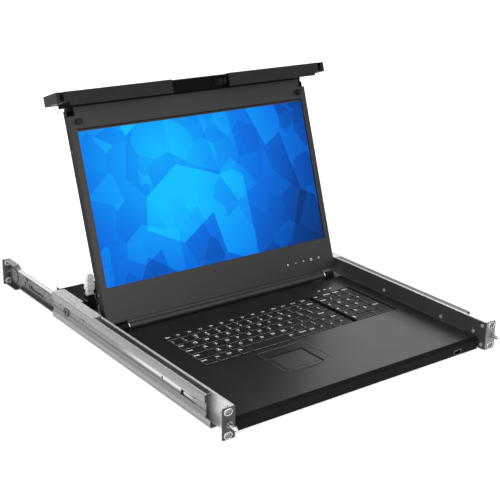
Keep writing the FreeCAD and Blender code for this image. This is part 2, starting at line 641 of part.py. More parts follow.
def deck():
    """Top sheet of the tray: bevelled front lip, key wells, touchpad recess and light windows."""
    body = new_body("deck")
    bend = "thin_sheet * 0.414"
    sketch = new_sketch(body, "YZ_Plane")
    polygon(sketch, [("deck_front", "deck_floor"), ("deck_front + thin_sheet", "deck_floor"),
                     ("deck_front + thin_sheet", "deck_top - deck_bevel - " + bend),
                     ("deck_front + deck_bevel + " + bend, "deck_top - thin_sheet"),
                     ("deck_back", "deck_top - thin_sheet"), ("deck_back", "deck_top"),
                     ("deck_front + deck_bevel", "deck_top"), ("deck_front", "deck_top - deck_bevel")])
    pad(body, sketch, "2 * deck_half", symmetric=True)
    # short side returns close the front box; behind them the deck overhangs the slides
    for offset, back in (("deck_half - thin_sheet", False), ("-deck_half", False)):
        sketch = new_sketch(body, "YZ_Plane", offset)
        polygon(sketch, [("deck_front", "deck_floor"), ("deck_front + side_return", "deck_floor"),
                         ("deck_front + side_return", "deck_top"),
                         ("deck_front + deck_bevel", "deck_top"),
                         ("deck_front", "deck_top - deck_bevel")])
        pad(body, sketch, "thin_sheet", reverse=back)
    half = size("deck_half")
    front = size("deck_front")
    round_edges(body, lambda c, d: abs(c.x) > half - 0.1 and c.y < front + 0.1 and abs(d.z) > 1,
                "deck_corner")
    # well for the keys, wider along the number pad's right-hand side
    sketch = new_sketch(body, "XY_Plane", "deck_top")
    rectangle(sketch, "keys_left - well_margin", "keys_front - well_margin",
              "pad_left + key_pitch * 4 + well_side", "%s + well_margin" % ROW_LOW[6])
    pocket(body, sketch, "thin_sheet")
    # shallow frame round the touchpad, then the opening for the pad and its buttons
    sketch = new_sketch(body, "XY_Plane", "deck_top")
    rectangle(sketch, "touch_left - touch_margin", "touch_front - touch_button_depth / 2",
              "touch_left + touch_width + touch_margin * 2", "touch_frame_back")
    pocket(body, sketch, "touch_recess")
    sketch = new_sketch(body, "XY_Plane", "deck_top")
    touch_outline(sketch, "0")
    pocket(body, sketch, "2 * thin_sheet")
    # three indicator windows above the number pad
    sketch = new_sketch(body, "XY_Plane", "deck_top")
    for x in LIGHTS:
        rectangle(sketch, x + " - light_half - fit_gap", "light_y - light_depth - fit_gap",
                  x + " + light_half + fit_gap", "light_y + light_depth + fit_gap")
    pocket(body, sketch, "thin_sheet")
    # port in the front face
    sketch = new_sketch(body, "XZ_Plane", "-deck_front")
    rectangle(sketch, "port_x - port_half - fit_gap", "port_z - port_rise - fit_gap",
              "port_x + port_half + fit_gap", "port_z + port_rise + fit_gap")
    pocket(body, sketch, "thin_sheet + fit_gap")


def touch_outline(sketch, gap):
    """Opening of the touchpad: straight sides and back, bowed front edge."""
    left = "touch_left + %s" % gap
    right = "touch_left + touch_width - %s" % gap
    back = "touch_front + touch_depth - %s" % gap
    front = "touch_front - touch_button_depth / 2 + %s" % gap
    corners = [(right, front), (right, back), (left, back), (left, front)]
    points = [Vector(size(x), size(y), 0) for x, y in corners]
    first = sketch.GeometryCount
    for a, b in zip(points, points[1:]):
        sketch.addGeometry(Part.LineSegment(a, b))
    middle = Vector((points[0].x + points[3].x) / 2, points[0].y - size("touch_bulge"), 0)
    arc = sketch.addGeometry(Part.Arc(points[3], middle, points[0]))
    for k in range(2):
        sketch.addConstraint(Sketcher.Constraint("Coincident", first + k, 2, first + k + 1, 1))
    sketch.addConstraint(Sketcher.Constraint("Coincident", first + 2, 2, arc, 1))
    sketch.addConstraint(Sketcher.Constraint("Coincident", arc, 2, first, 1))
    for k, corner in enumerate(corners[:3]):
        fix_point(sketch, first + k, 1, corner)
    fix_point(sketch, first + 2, 2, corners[3])
    # radius from the chord and the bow's height
    half = "((%s) - (%s)) / 2" % (right, left)
    bow = "((%s)^2 + touch_bulge^2) / (2 * touch_bulge)" % half
    limit = sketch.addConstraint(Sketcher.Constraint("Radius", arc, size(bow)))
    sketch.setExpression("Constraints[%d]" % limit, bound(bow))


def key_spans(left, widths):
    """Left and right edge of each key in a row."""
    start = 0.0
    for width in widths:
        yield ("%s + key_pitch * %s + key_gap / 2" % (left, start),
               "%s + key_pitch * %s - key_gap / 2" % (left, start + width))
        start += width


def keycaps(label, spans):
    """Tapered caps with square guide stems; spans are (left, low, right, high)."""
    keys = []
    for left, low, right, high in spans:
        # a wedge tapers along its own Y, so it is turned to stand upright
        cap = doc.addObject("Part::Wedge", "cap")
        for name, text in (("Xmin", left), ("Xmax", right), ("X2min", left + " + key_taper"),
                           ("X2max", right + " - key_taper"), ("Ymin", "0"), ("Ymax", "key_height"),
                           ("Zmin", "-(%s)" % high), ("Zmax", "-(%s)" % low),
                           ("Z2min", "-(%s) + key_taper" % high), ("Z2max", "-(%s) - key_taper" % low)):
            cap.setExpression(name, bound(text))
        cap.Placement.Rotation = FreeCAD.Rotation(Vector(1, 0, 0), 90)
        place(cap, "0", "0", KEY_BOTTOM)
        stem = doc.addObject("Part::Box", "stem")
        for name, text in (("Length", "stem"), ("Width", "stem"), ("Height", "stem_length + 1")):
            stem.setExpression(name, bound(text))
        place(stem, "((%s) + (%s)) / 2 - stem / 2" % (left, right),
              "((%s) + (%s)) / 2 - stem / 2" % (low, high), KEY_BOTTOM + " - stem_length")
        key = doc.addObject("Part::Fuse", "key")
        key.Base = cap
        key.Tool = stem
        keys.append(key)
    group = doc.addObject("Part::Compound", label)
    group.Links = keys
    return keep(group, label)


def keyboard():
    guides = []
    for number in range(6):
        low = ROW_LOW[number] + " + key_gap / 2"
        high = ROW_LOW[number + 1] + " - key_gap / 2"
        main = [(a, low, b, high) for a, b in key_spans("keys_left", MAIN_ROWS[number])]
        side = [(a, low, b, high) for a, b in key_spans("pad_left", PAD_ROWS[number])]
        guides += [(main[0], main[-1]), (side[0], side[-1])]
        keycaps("key_row_%d" % (number + 1), main + side)
    left = "pad_left + key_pitch * 3 + key_gap / 2"
    right = "pad_left + key_pitch * 4 - key_gap / 2"
    tall = [(left, ROW_LOW[k] + " + key_gap / 2", right, ROW_LOW[k + 2] + " - key_gap / 2")
            for k in (0, 2)]
    guides += [(key, key) for key in tall]
    keycaps("key_tall", tall)
    # guide plate under the keys: one long slot for the stems of each row
    body = new_body("key_plate")
    sketch = new_sketch(body, "XY_Plane", PLATE_TOP)
    rectangle(sketch, PLATE_LEFT, "keys_front - plate_margin", PLATE_RIGHT,
              ROW_LOW[6] + " + plate_margin")
    pad(body, sketch, "key_plate_sheet", reverse=True)
    sketch = new_sketch(body, "XY_Plane", PLATE_TOP)
    reach = "(stem / 2 + stem_gap)"
    for first, last in guides:
        middle = "((%s) + (%s)) / 2" % (first[1], first[3])
        rectangle(sketch, "((%s) + (%s)) / 2 - %s" % (first[0], first[2], reach),
                  "%s - %s" % (middle, reach),
                  "((%s) + (%s)) / 2 + %s" % (last[0], last[2], reach), "%s + %s" % (middle, reach))
    pocket(body, sketch, "key_plate_sheet + 1")
    # rails that carry the plate on the pan floor
    sketch = new_sketch(body, "XY_Plane", "pan_floor + thin_sheet")
    for low in ("keys_front - plate_margin", ROW_LOW[6] + " + plate_margin - thin_sheet"):
        rectangle(sketch, PLATE_LEFT, low, PLATE_RIGHT, low + " + thin_sheet")
    pad(body, sketch, "%s - key_plate_sheet - (pan_floor + thin_sheet)" % PLATE_TOP)


def touchpad():
    top = "deck_top - touch_sink"
    right = "touch_left + touch_width"
    body = new_body("touchpad")
    sketch = new_sketch(body, "XY_Plane", top)
    rectangle(sketch, "touch_left + touch_gap", "touch_front", right + " - touch_gap",
              "touch_front + touch_depth - touch_gap")
    pad(body, sketch, "touch_sheet", reverse=True)
    # carrier frame below, standing on the pan floor
    sketch = new_sketch(body, "XY_Plane", top + " - touch_sheet")
    rectangle(sketch, "touch_left - touch_carrier", "touch_front", right + " + touch_carrier",
              "touch_front + touch_depth + touch_carrier")
    pad(body, sketch, "%s - touch_sheet - pan_floor - thin_sheet" % top, reverse=True)
    # buttons: the opening's outline less the pad, less the other button
    middle = "touch_left + touch_width / 2"
    for label, other in (("touch_button_left", (middle + " - fit_gap", right)),
                         ("touch_button_right", ("touch_left", middle + " + fit_gap"))):
        body = new_body(label)
        sketch = new_sketch(body, "XY_Plane", top + " - touch_button_drop")
        touch_outline(sketch, "touch_gap")
        pad(body, sketch, "touch_button_sheet", reverse=True)
        sketch = new_sketch(body, "XY_Plane", top)
        rectangle(sketch, "touch_left", "touch_front - touch_gap", right, "touch_front + touch_depth")
        pocket(body, sketch, "2 * touch_button_sheet")
        sketch = new_sketch(body, "XY_Plane", top)
        rectangle(sketch, other[0], "touch_front - 2 * touch_button_depth", other[1], "touch_front")
        pocket(body, sketch, "2 * touch_button_sheet")


def indicator_lights():
    body = new_body("indicator_lights")
    sketch = new_sketch(body, "XY_Plane", "deck_top - thin_sheet")
    for x in LIGHTS:
        rectangle(sketch, x + " - light_half", "light_y - light_depth", x + " + light_half",
                  "light_y + light_depth")
    pad(body, sketch, "thin_sheet + light_rise")


def front_port():
    """Socket shell with its tongue, behind the front face."""
    body = new_body("front_port")
    sketch = new_sketch(body, "XZ_Plane", "-deck_front")
    rectangle(sketch, "-port_half", "-port_rise", "port_half", "port_rise")
    rectangle(sketch, "-port_half + port_shell", "-port_rise + port_shell", "port_half - port_shell",
              "port_rise - port_shell")
    pad(body, sketch, "port_depth", reverse=True)
    sketch = new_sketch(body, "XZ_Plane", "-(deck_front + port_depth - port_back / 2)")
    rectangle(sketch, "-port_half", "-port_rise", "port_half", "port_rise")
    pad(body, sketch, "port_back", reverse=True)
    sketch = new_sketch(body, "XZ_Plane", "-(deck_front + port_tongue_front)")
    rectangle(sketch, "-port_tongue", "port_tongue_low", "port_tongue",
              "port_tongue_low + port_tongue_sheet")
    pad(body, sketch, "port_depth - port_tongue_front", reverse=True)
    place(body, "port_x", "0", "port_z")


def controller_box():
    body = new_body("controller_box")
    sketch = new_sketch(body, "XY_Plane", "pan_floor + thin_sheet")
    rectangle(sketch, "-box_half", "box_front", "box_half", "box_back")
    pad(body, sketch, "box_height")
    above = size("pan_floor + thin_sheet + box_height / 2")
    round_edges(body, lambda c, d: abs(d.x) > 1 and c.z > above, "box_edge", "Chamfer")


# ---------------------------------------------------------------------------------------------
# Hinge
# ---------------------------------------------------------------------------------------------
def hinge():
    """Brackets with a foot on the pan floor and a knuckle round the axis, and their headed pins."""
    body = new_body("hinge_bracket_right")
    floor = "pan_floor + thin_sheet - hinge_z"
    width = "knuckle_outer - knuckle_inner"
    sketch = new_sketch(body, "YZ_Plane", "knuckle_inner")
    polygon(sketch, [("-barrel_radius", "0"), ("-barrel_radius", floor), ("foot_back", floor),
                     ("foot_back", floor + " + foot_sheet"), ("0", floor + " + foot_rise"), ("0", "0")])
    pad(body, sketch, width)
    sketch = new_sketch(body, "YZ_Plane", "knuckle_inner")
    circle(sketch, ("0", "0"), "barrel_radius")
    pad(body, sketch, width)
    sketch = new_sketch(body, "YZ_Plane", "knuckle_inner")
    circle(sketch, ("0", "0"), "hinge_pin_radius + pin_clearance")
    pocket(body, sketch)
    place(body, "0", "hinge_y", "hinge_z")
    mirrored("hinge_bracket_left", body)
    # pins: headed outside the bracket, running in the barrel
    start = "(barrel_half - barrel_bore_depth + pin_end_gap)"
    neck = "knuckle_outer - %s" % start
    wide = "hinge_pin_radius + pin_head"
    profile = [("0", "0"), ("hinge_pin_radius", "0"), ("hinge_pin_radius", neck), (wide, neck),
               (wide, neck + " + pin_head"), ("0", neck + " + pin_head")]
    paired("hinge_pins", [turned("hinge_pin", profile, (start, "hinge_y", "hinge_z"), Vector(1, 0, 0))])


def hinge_barrel():
    """Long rib under the lid: a round barrel with a neck up to the lid's lower edge."""
    body = new_body("hinge_barrel")
    sketch = new_sketch(body, "YZ_Plane")
    circle(sketch, ("0", "0"), "barrel_radius")
    pad(body, sketch, "2 * barrel_half", symmetric=True)
    sketch = new_sketch(body, "YZ_Plane")
    polygon(sketch, [("0", "0"), ("neck_depth / 2", "0"), ("neck_depth", "lid_bottom / 2"),
                     ("neck_depth", "lid_bottom"), ("0", "lid_bottom")])
    pad(body, sketch, "2 * barrel_half", symmetric=True)
    for role_offset, back in (("barrel_half - barrel_bore_depth", True), ("-barrel_half", True)):
        sketch = new_sketch(body, "YZ_Plane", role_offset)
        circle(sketch, ("0", "0"), "hinge_pin_radius + pin_clearance")
        pocket(body, sketch, "barrel_bore_depth", reverse=back)
    on_lid(body)


# ---------------------------------------------------------------------------------------------
# Display lid
# ---------------------------------------------------------------------------------------------
def lid_outline(sketch, neck, shoulder):
    """Front view of the lid: square shoulders beside the neck that meets the bar."""
    polygon(sketch, [("-lid_half", "lid_bottom"), ("lid_half", "lid_bottom"), ("lid_half", shoulder),
                     (neck, shoulder), (neck, "lid_neck_top"), ("-" + neck, "lid_neck_top"),
                     ("-" + neck, shoulder), ("-lid_half", shoulder)])


def bezel():
    body = new_body("bezel")
    sketch = new_sketch(body, "XZ_Plane", "-lid_front")
    lid_outline(sketch, "lid_neck_half", "lid_top - corner_notch")
    pad(body, sketch, "bezel_depth", reverse=True)
    half = size("lid_half")
    low = size("lid_bottom")
    round_edges(body, lambda c, d: abs(c.x) > half - 0.1 and c.z < low + 0.1 and abs(d.y) > 1, "lid_corner")
    sketch = new_sketch(body, "XZ_Plane", "-lid_front")
    rectangle(sketch, "-screen_width / 2 - screen_reveal", "screen_bottom - screen_reveal",
              "screen_width / 2 + screen_reveal", "screen_bottom + screen_height + screen_reveal")
    pocket(body, sketch)
    sketch = new_sketch(body, "XZ_Plane", "-(lid_front + bezel_lip)")
    margin = "(panel_margin + panel_gap)"
    half_width = "(screen_width / 2 + panel_side_margin + panel_gap)"
    rectangle(sketch, "-" + half_width, "screen_bottom - " + margin, half_width,
              "screen_bottom + screen_height + " + margin)
    pocket(body, sketch, "bezel_depth", reverse=False)
    sketch = new_sketch(body, "XZ_Plane", "-lid_front")
    for k in range(5):
        circle(sketch, ("button_left + button_pitch * %d" % k, "button_z"), "button_radius + fit_gap")
    pocket(body, sketch)
    on_lid(body)


def lid_back():
    body = new_body("lid_back")
    front = "(lid_front + bezel_depth)"
    sketch = new_sketch(body, "XZ_Plane", "-" + front)
    lid_outline(sketch, "back_neck_half", "lid_top")
    pad(body, sketch, "lid_back_face - " + front, reverse=True)
    half = size("lid_half")
    low = size("lid_bottom")
    back = size("lid_back_face")
    round_edges(body, lambda c, d: abs(c.x) > half - 0.1 and c.z < low + 0.1 and abs(d.y) > 1, "lid_corner")
    round_edges(body, lambda c, d: c.y > back - 0.01 and (abs(c.x) > half - 0.1 or c.z < low + 1),
                "lid_edge", "Chamfer")
    sketch = new_sketch(body, "XZ_Plane", "-" + front)
    rectangle(sketch, "-(lid_half - lid_wall)", "lid_bottom + lid_wall", "lid_half - lid_wall",
              "lid_top - lid_wall")
    pocket(body, sketch, "lid_back_face - %s - lid_wall" % front)
    on_lid(body)


def lcd_panel():
    body = new_body("lcd_panel")
    sketch = new_sketch(body, "XZ_Plane", "-(lid_front + bezel_lip + panel_gap)")
    half_width = "(screen_width / 2 + panel_side_margin)"
    rectangle(sketch, "-" + half_width, "screen_bottom - panel_margin", half_width,
              "screen_bottom + screen_height + panel_margin")
    pad(body, sketch, "panel_thickness", reverse=True)
    on_lid(body)


def bumpers():
    """Domed rubber stops on the bezel that land on the deck."""
    body = new_body("bumpers")
    sketch = new_sketch(body, "XZ_Plane", "-lid_front")
    for side in ("-", ""):
        circle(sketch, (side + "bumper_x", "bumper_z"), "bumper_radius")
    pad(body, sketch, "bumper_height")
    front = size("lid_front") - size("bumper_height")
    round_edges(body, lambda c, d: c.y < front + 0.01, "bumper_edge", "Chamfer")
    on_lid(body)


def display_buttons():
    for k in range(5):
        body = new_body("display_button_%d" % (k + 1))
        sketch = new_sketch(body, "XZ_Plane", "-(lid_front - button_rise)")
        circle(sketch, ("button_left + button_pitch * %d" % k, "button_z"), "button_radius")
        pad(body, sketch, "button_rise + button_depth", reverse=True)
        on_lid(body)


def bar_section(low):
    """Hollow section of the bar, open on the side that meets the lid."""
    return [("bar_low", low), ("bar_low", "bar_top"), ("lid_back_face", "bar_top"),
            ("lid_back_face", low), ("lid_back_face - bar_wall", low),
            ("lid_back_face - bar_wall", "bar_top - bar_wall"),
            ("bar_low + bar_wall", "bar_top - bar_wall"), ("bar_low + bar_wall", low)]


def round_bar(body):
    """Soften the bar's two long outer edges."""
    top = size("bar_top")
    back = size("lid_back_face")
    low = size("bar_low")
    round_edges(body, lambda c, d: c.z > top - 0.01 and abs(d.x) > 10 and
                (c.y > back - 0.1 or c.y < low + 0.1), "bar_round")


def front_bar():
    """Hollow bar that closes the rack face, with a finger notch in its leading wall."""
    body = new_body("front_bar")
    sketch = new_sketch(body, "YZ_Plane")
    polygon(sketch, bar_section("bar_bottom"))
    pad(body, sketch, "2 * bar_step", symmetric=True)
    sketch = new_sketch(body, "XZ_Plane", "-(bar_low - 1)")
    rectangle(sketch, "grip_left", "bar_bottom - 1", "grip_right", "bar_top + 1")
    pocket(body, sketch, "grip_depth + 1")
    round_bar(body)
    on_lid(body)


def bar_end():
    """End cap of the bar: shorter, to clear the post's screws, and slotted for the pin."""
    body = new_body("bar_end_right")
    half = "rack_width / 2"
    sketch = new_sketch(body, "YZ_Plane", "bar_step")
    polygon(sketch, bar_section("bar_end_bottom"))
    pad(body, sketch, "%s - bar_step" % half)
    sketch = new_sketch(body, "YZ_Plane", "%s - bar_wall" % half)
    rectangle(sketch, "bar_low + bar_wall / 2", "bar_end_bottom", "lid_back_face - bar_wall / 2",
              "bar_top - bar_wall / 2")
    pad(body, sketch, "bar_wall")
    sketch = new_sketch(body, "XZ_Plane", "-(bar_low - 1)")
    x = "hole_span / 2"
    rectangle(sketch, x + " - pin_slot / 2", "bar_bottom", x + " + pin_slot / 2", "bar_top + 1")
    pocket(body, sketch, "pin_slot_depth + 1")
    round_bar(body)
    on_lid(body)
    mirrored("bar_end_left", body)


def grip_liner():
    """Moulded liner that closes the finger notch from inside the bar."""
    body = new_body("grip_liner")
    deep = "(bar_low + grip_depth)"
    mouth = "bar_low + bar_wall"
    sketch = new_sketch(body, "XY_Plane", "bar_bottom")
    polygon(sketch, [("grip_left", mouth), ("grip_left", deep), ("grip_right", deep),
                     ("grip_right", mouth), ("grip_right + liner_sheet", mouth),
                     ("grip_right + liner_sheet", deep + " + liner_sheet"),
                     ("grip_left - liner_sheet", deep + " + liner_sheet"),
                     ("grip_left - liner_sheet", mouth)])
    pad(body, sketch, "bar_top - bar_wall - bar_bottom")
    sketch = new_sketch(body, "XZ_Plane", "-" + deep)
    rectangle(sketch, "latch_x - window_half - window_shift", "bar_bottom + fin_low - window_edge",
              "latch_x + window_half - window_shift", "bar_bottom + fin_high + window_edge")
    pocket(body, sketch)
    on_lid(body)


def latch_lever():
    """Sliding catch release: two thumb fins on a plate behind the liner."""
    body = new_body("latch_lever")
    face = "bar_low + grip_depth + lever_sheet"
    sketch = new_sketch(body, "XZ_Plane", "-(%s)" % face)
    rectangle(sketch, "latch_x - latch_half", "bar_bottom + lever_low", "latch_x + latch_half",
              "bar_bottom + lever_high")
    pad(body, sketch, "lever_sheet", reverse=True)
    sketch = new_sketch(body, "XZ_Plane", "-(%s)" % face)
    for x in ("latch_x + fin_left", "latch_x + fin_right"):
        rectangle(sketch, x, "bar_bottom + fin_low", x + " + fin_sheet", "bar_bottom + fin_high")
    pad(body, sketch, "grip_depth + lever_sheet - fin_sink", reverse=False)
    on_lid(body)


def latch_plates():
    """Plates in the bar's ends whose notches close round the locating pins."""
    body = new_body("latch_plates")
    sketch = new_sketch(body, "XY_Plane", "bar_end_bottom + plate_lift")
    inner = "(bar_step + plate_inset)"
    outer = "(rack_width / 2 - bar_wall - fit_gap)"
    notch = ["(hole_span / 2 %s pin_slot / 2)" % sign for sign in "-+"]
    low = "bar_low + bar_wall + fit_gap"
    high = "lid_back_face - bar_wall - fit_gap"
    bottom = "-hinge_z + pin_slot / 2"
    for side in ("", "-"):
        polygon(sketch, [(side + x, y) for x, y in (
            (inner, low), (notch[0], low), (notch[0], bottom), (notch[1], bottom), (notch[1], low),
            (outer, low), (outer, high), (inner, high))])
    pad(body, sketch, "plate_sheet")
    on_lid(body)


# ---------------------------------------------------------------------------------------------
# Build, check and export
# ---------------------------------------------------------------------------------------------
for build in (front_bracket, side_wall, support_rail, rear_bracket, rear_panel, locating_pins,
              wall_screws, rail_bolts, ball_slides, drawer_pan, deck, keyboard, touchpad,
              indicator_lights, front_port, controller_box, hinge, hinge_barrel, bezel, lid_back,
              lcd_panel, bumpers, display_buttons, front_bar, bar_end, grip_liner, latch_lever, latch_plates):
    build()
    doc.recompute()

for thing in doc.Objects:
    if "Invalid" in thing.State or "Error" in thing.State:
        raise RuntimeError("%s failed: %s" % (thing.Label, thing.State))
for thing in subparts:
    shape = thing.Shape
    if shape.isNull() or not shape.isValid() or not shape.Solids:
        raise RuntimeError(thing.Label + " has no valid solid")
for thing in subparts:
    thing.Shape.exportStep("parts/%s.step" % thing.Label)
print(len(subparts), "sub-parts")
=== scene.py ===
import math

import bmesh
import bpy
from mathutils import Matrix, Vector


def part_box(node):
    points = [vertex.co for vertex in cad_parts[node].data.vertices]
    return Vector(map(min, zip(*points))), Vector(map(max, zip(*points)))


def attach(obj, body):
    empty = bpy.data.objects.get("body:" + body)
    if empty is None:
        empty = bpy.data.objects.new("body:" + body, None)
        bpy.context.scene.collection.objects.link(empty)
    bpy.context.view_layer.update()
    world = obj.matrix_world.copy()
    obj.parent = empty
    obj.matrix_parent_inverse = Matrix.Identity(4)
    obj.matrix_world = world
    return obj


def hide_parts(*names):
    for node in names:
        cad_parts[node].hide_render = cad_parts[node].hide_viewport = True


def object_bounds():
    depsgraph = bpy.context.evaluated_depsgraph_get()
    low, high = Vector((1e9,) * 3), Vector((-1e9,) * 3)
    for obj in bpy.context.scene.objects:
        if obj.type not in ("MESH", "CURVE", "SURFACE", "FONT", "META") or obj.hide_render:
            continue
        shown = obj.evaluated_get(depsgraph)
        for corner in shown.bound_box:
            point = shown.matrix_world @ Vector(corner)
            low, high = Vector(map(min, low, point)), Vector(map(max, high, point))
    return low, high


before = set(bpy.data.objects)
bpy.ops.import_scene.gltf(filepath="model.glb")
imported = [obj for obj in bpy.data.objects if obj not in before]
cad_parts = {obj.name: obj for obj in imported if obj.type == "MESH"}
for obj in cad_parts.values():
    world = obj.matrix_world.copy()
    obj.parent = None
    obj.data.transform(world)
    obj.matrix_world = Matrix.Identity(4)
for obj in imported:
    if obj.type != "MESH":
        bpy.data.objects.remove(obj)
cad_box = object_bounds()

# ------
# Studio: a white sweep with soft lamps, and the camera at the left front corner of the console,
# a little above it.  The sweep stays white to the camera and keeps the soft shadow underneath.
scene = bpy.context.scene
scene.view_settings.view_transform = "Standard"

EYE = Vector((-0.902172, -0.943820, 0.632720))
YAW, PITCH, ROLL = math.radians(36.495), math.radians(19.486), math.radians(0.853)
SENSOR_WIDTH, FOCAL_LENGTH, FARTHEST = 36, 77.57, 20
ahead = Vector((math.sin(YAW) * math.cos(PITCH), math.cos(YAW) * math.cos(PITCH), -math.sin(PITCH)))
level = Vector((math.cos(YAW), -math.sin(YAW), 0))
upright = level.cross(ahead)
right = level * math.cos(ROLL) + upright * math.sin(ROLL)
up = upright * math.cos(ROLL) - level * math.sin(ROLL)

camera_data = bpy.data.cameras.new("camera")
camera_data.sensor_width = SENSOR_WIDTH
camera_data.lens = FOCAL_LENGTH
camera_data.clip_end = FARTHEST
camera = bpy.data.objects.new("camera", camera_data)
camera.matrix_world = Matrix((right, up, -ahead)).transposed().to_4x4()
camera.location = EYE
scene.collection.objects.link(camera)
scene.camera = camera

FLOOR_HALF, FLOOR_GAP = 6.0, 0.0002  # half the sweep's width, and the gap under the console
floor_level = cad_box[0].z - FLOOR_GAP
floor_mesh = bpy.data.meshes.new("floor")
floor_mesh.from_pydata([(x * FLOOR_HALF, y * FLOOR_HALF, floor_level)
                        for x, y in ((-1, -1), (1, -1), (1, 1), (-1, 1))], [], [(0, 1, 2, 3)])
floor = bpy.data.objects.new("floor", floor_mesh)
scene.collection.objects.link(floor)


def feed(tree, node, sockets):
    """Give each socket of a node a plain value or another node's output."""
    for socket, source in dict(sockets).items():
        if isinstance(source, bpy.types.NodeSocket):
            tree.links.new(source, node.inputs[socket])
        else:
            node.inputs[socket].default_value = source


def wired(tree, kind, sockets=(), **settings):
    """Add a shader node with its settings and feed it."""
    node = tree.nodes.new("ShaderNode" + kind)
    for setting, value in settings.items():
        setattr(node, setting, value)
    feed(tree, node, sockets)
    return node


def work_out(tree, operation, *terms, clamp=False):
    """Work out one number from others."""
    return wired(tree, "Math", enumerate(terms), operation=operation, use_clamp=clamp).outputs["Value"]


def sight_rays(tree):
    """1 for the rays that see the sweep: straight, mirrored or through glass."""
    rays = wired(tree, "LightPath")
    direct = work_out(tree, "MAXIMUM", rays.outputs["Is Camera Ray"], rays.outputs["Is Glossy Ray"])
    return work_out(tree, "MAXIMUM", direct, rays.outputs["Is Transmission Ray"])


WHITE = (1, 1, 1, 1)
FLOOR_GLOW = 0.52  # lifts the sweep to white where it is seen
floor_paint = bpy.data.materials.new("floor_white")
floor_paint.use_nodes = True
floor_tree = floor_paint.node_tree
feed(floor_tree, floor_tree.nodes["Principled BSDF"], {
    "Base Color": (0.93, 0.93, 0.935, 1), "Roughness": 0.9, "Specular IOR Level": 0.0, "Emission Color": WHITE,
    "Emission Strength": work_out(floor_tree, "MULTIPLY", sight_rays(floor_tree), FLOOR_GLOW)})
floor_mesh.materials.append(floor_paint)

SKY_LIGHT = 0.5  # how strongly the sweep's dome lights the console; it shows as full white
world = bpy.data.worlds.new("sweep")
scene.world = world
world.use_nodes = True
sky = world.node_tree
dome = sky.nodes["Background"]
feed(sky, dome, {"Color": WHITE, "Strength": SKY_LIGHT})
seen = wired(sky, "Background", {"Color": WHITE})
choose = wired(sky, "MixShader", {"Fac": sight_rays(sky), 1: dome.outputs["Background"],
                                  2: seen.outputs["Background"]})
feed(sky, sky.nodes["World Output"], {"Surface": choose.outputs["Shader"]})

LAMPS = (  # name, place, aim, size, power
    ("left_lamp", (-2.1, -0.3, 1.7), (0, 0.15, 0.05), 1.2, 19),
    ("front_lamp", (-1.30, -1.05, 0.8), (-0.15, 0.3, 0.15), 0.7, 9),
    ("back_lamp", (-0.5, 2.1, 1.9), (0, 0.2, 0.05), 1.3, 26),
    ("deck_lamp", (1.5, 1.35, 0.85), (0.15, 0.1, 0), 0.8, 3.6),
    ("lid_lamp", (0.42, -1.15, 0.55), (-0.15, 0.35, 0.20), 0.45, 3.0),
)
for name, place, aim, width, power in LAMPS:
    lamp_data = bpy.data.lights.new(name, "AREA")
    lamp_data.shape = "SQUARE"
    lamp_data.size = width
    lamp_data.energy = power
    lamp = bpy.data.objects.new(name, lamp_data)
    lamp.location = place
    lamp.rotation_euler = (Vector(aim) - Vector(place)).to_track_quat("-Z", "Y").to_euler()
    scene.collection.objects.link(lamp)

# ------
# Galvanised sheet: the rack brackets, the outboard channels and the telescoping rear brackets.
# Cold-rolled strip with a faint zinc bloom, drawn lengthwise; its folded edges are a little brighter, worn and a
# painted highlight, and its corners carry painted shade.
MM = 0.001


def new_group(name, inputs, output):
    """Start a node group with number inputs and one number output; return it and its inner ends."""
    tree = bpy.data.node_groups.new(name, "ShaderNodeTree")
    for label, value in inputs.items():
        socket = tree.interface.new_socket(label, in_out="INPUT", socket_type="NodeSocketFloat")
        socket.default_value = value
    tree.interface.new_socket(output, in_out="OUTPUT", socket_type="NodeSocketFloat")
    return tree, tree.nodes.new("NodeGroupInput"), tree.nodes.new("NodeGroupOutput")


def grain_group():
    """Noise over the part's own coordinates, stretched along Y, from 0 to 1."""
    tree, start, end = new_group("sheet_grain", {"Scale": 1.0, "Stretch": 1.0}, "Grain")
    place = wired(tree, "TexCoord")
    stretch = wired(tree, "CombineXYZ", {"X": 1, "Y": start.outputs["Stretch"], "Z": 1})
    scaled = wired(tree, "VectorMath", {0: place.outputs["Object"], 1: stretch.outputs["Vector"]},
                   operation="MULTIPLY")
    noise = wired(tree, "TexNoise", {"Vector": scaled.outputs["Vector"], "Scale": start.outputs["Scale"],
                                     "Detail": 3})
    feed(tree, end, {"Grain": noise.outputs["Fac"]})
    return tree


def edge_group():
    """Mask that is 1 on edges, within the radius, and 0 on flat faces."""
    tree, start, end = new_group("edge_wear_and_highlight", {"Radius": 0.001, "Strength": 4.0}, "Mask")
    rounded = wired(tree, "Bevel", {"Radius": start.outputs["Radius"]}, samples=4)
    flat = wired(tree, "NewGeometry")
    dot = wired(tree, "VectorMath", {0: rounded.outputs["Normal"], 1: flat.outputs["Normal"]},
                operation="DOT_PRODUCT")
    turn = work_out(tree, "SUBTRACT", 1, dot.outputs["Value"])
    feed(tree, end, {"Mask": work_out(tree, "MULTIPLY", turn, start.outputs["Strength"], clamp=True)})
    return tree


def crevice_group():
    """Mask that is 1 on open faces and falls towards 0 in corners within the reach, where it lays painted shade.
    """
    tree, start, end = new_group("painted_corner_shade", {"Reach": 0.004, "Depth": 1.5}, "Open")
    hollow = wired(tree, "AmbientOcclusion", {"Distance": start.outputs["Reach"]}, samples=8, only_local=True)
    feed(tree, end, {"Open": work_out(tree, "POWER", hollow.outputs["AO"], start.outputs["Depth"])})
    return tree


sheet_grain = grain_group()
edge_wear_and_highlight = edge_group()
painted_corner_shade = crevice_group()


def finish(name, roughness, metallic=0.0, specular=0.5):
    """Start a material whose Principled shader has these plain values."""
    material = bpy.data.materials.new(name)
    material.use_nodes = True
    tree = material.node_tree
    shader = tree.nodes["Principled BSDF"]
    feed(tree, shader, {"Roughness": roughness, "Metallic": metallic, "Specular IOR Level": specular})
    return material, tree, shader


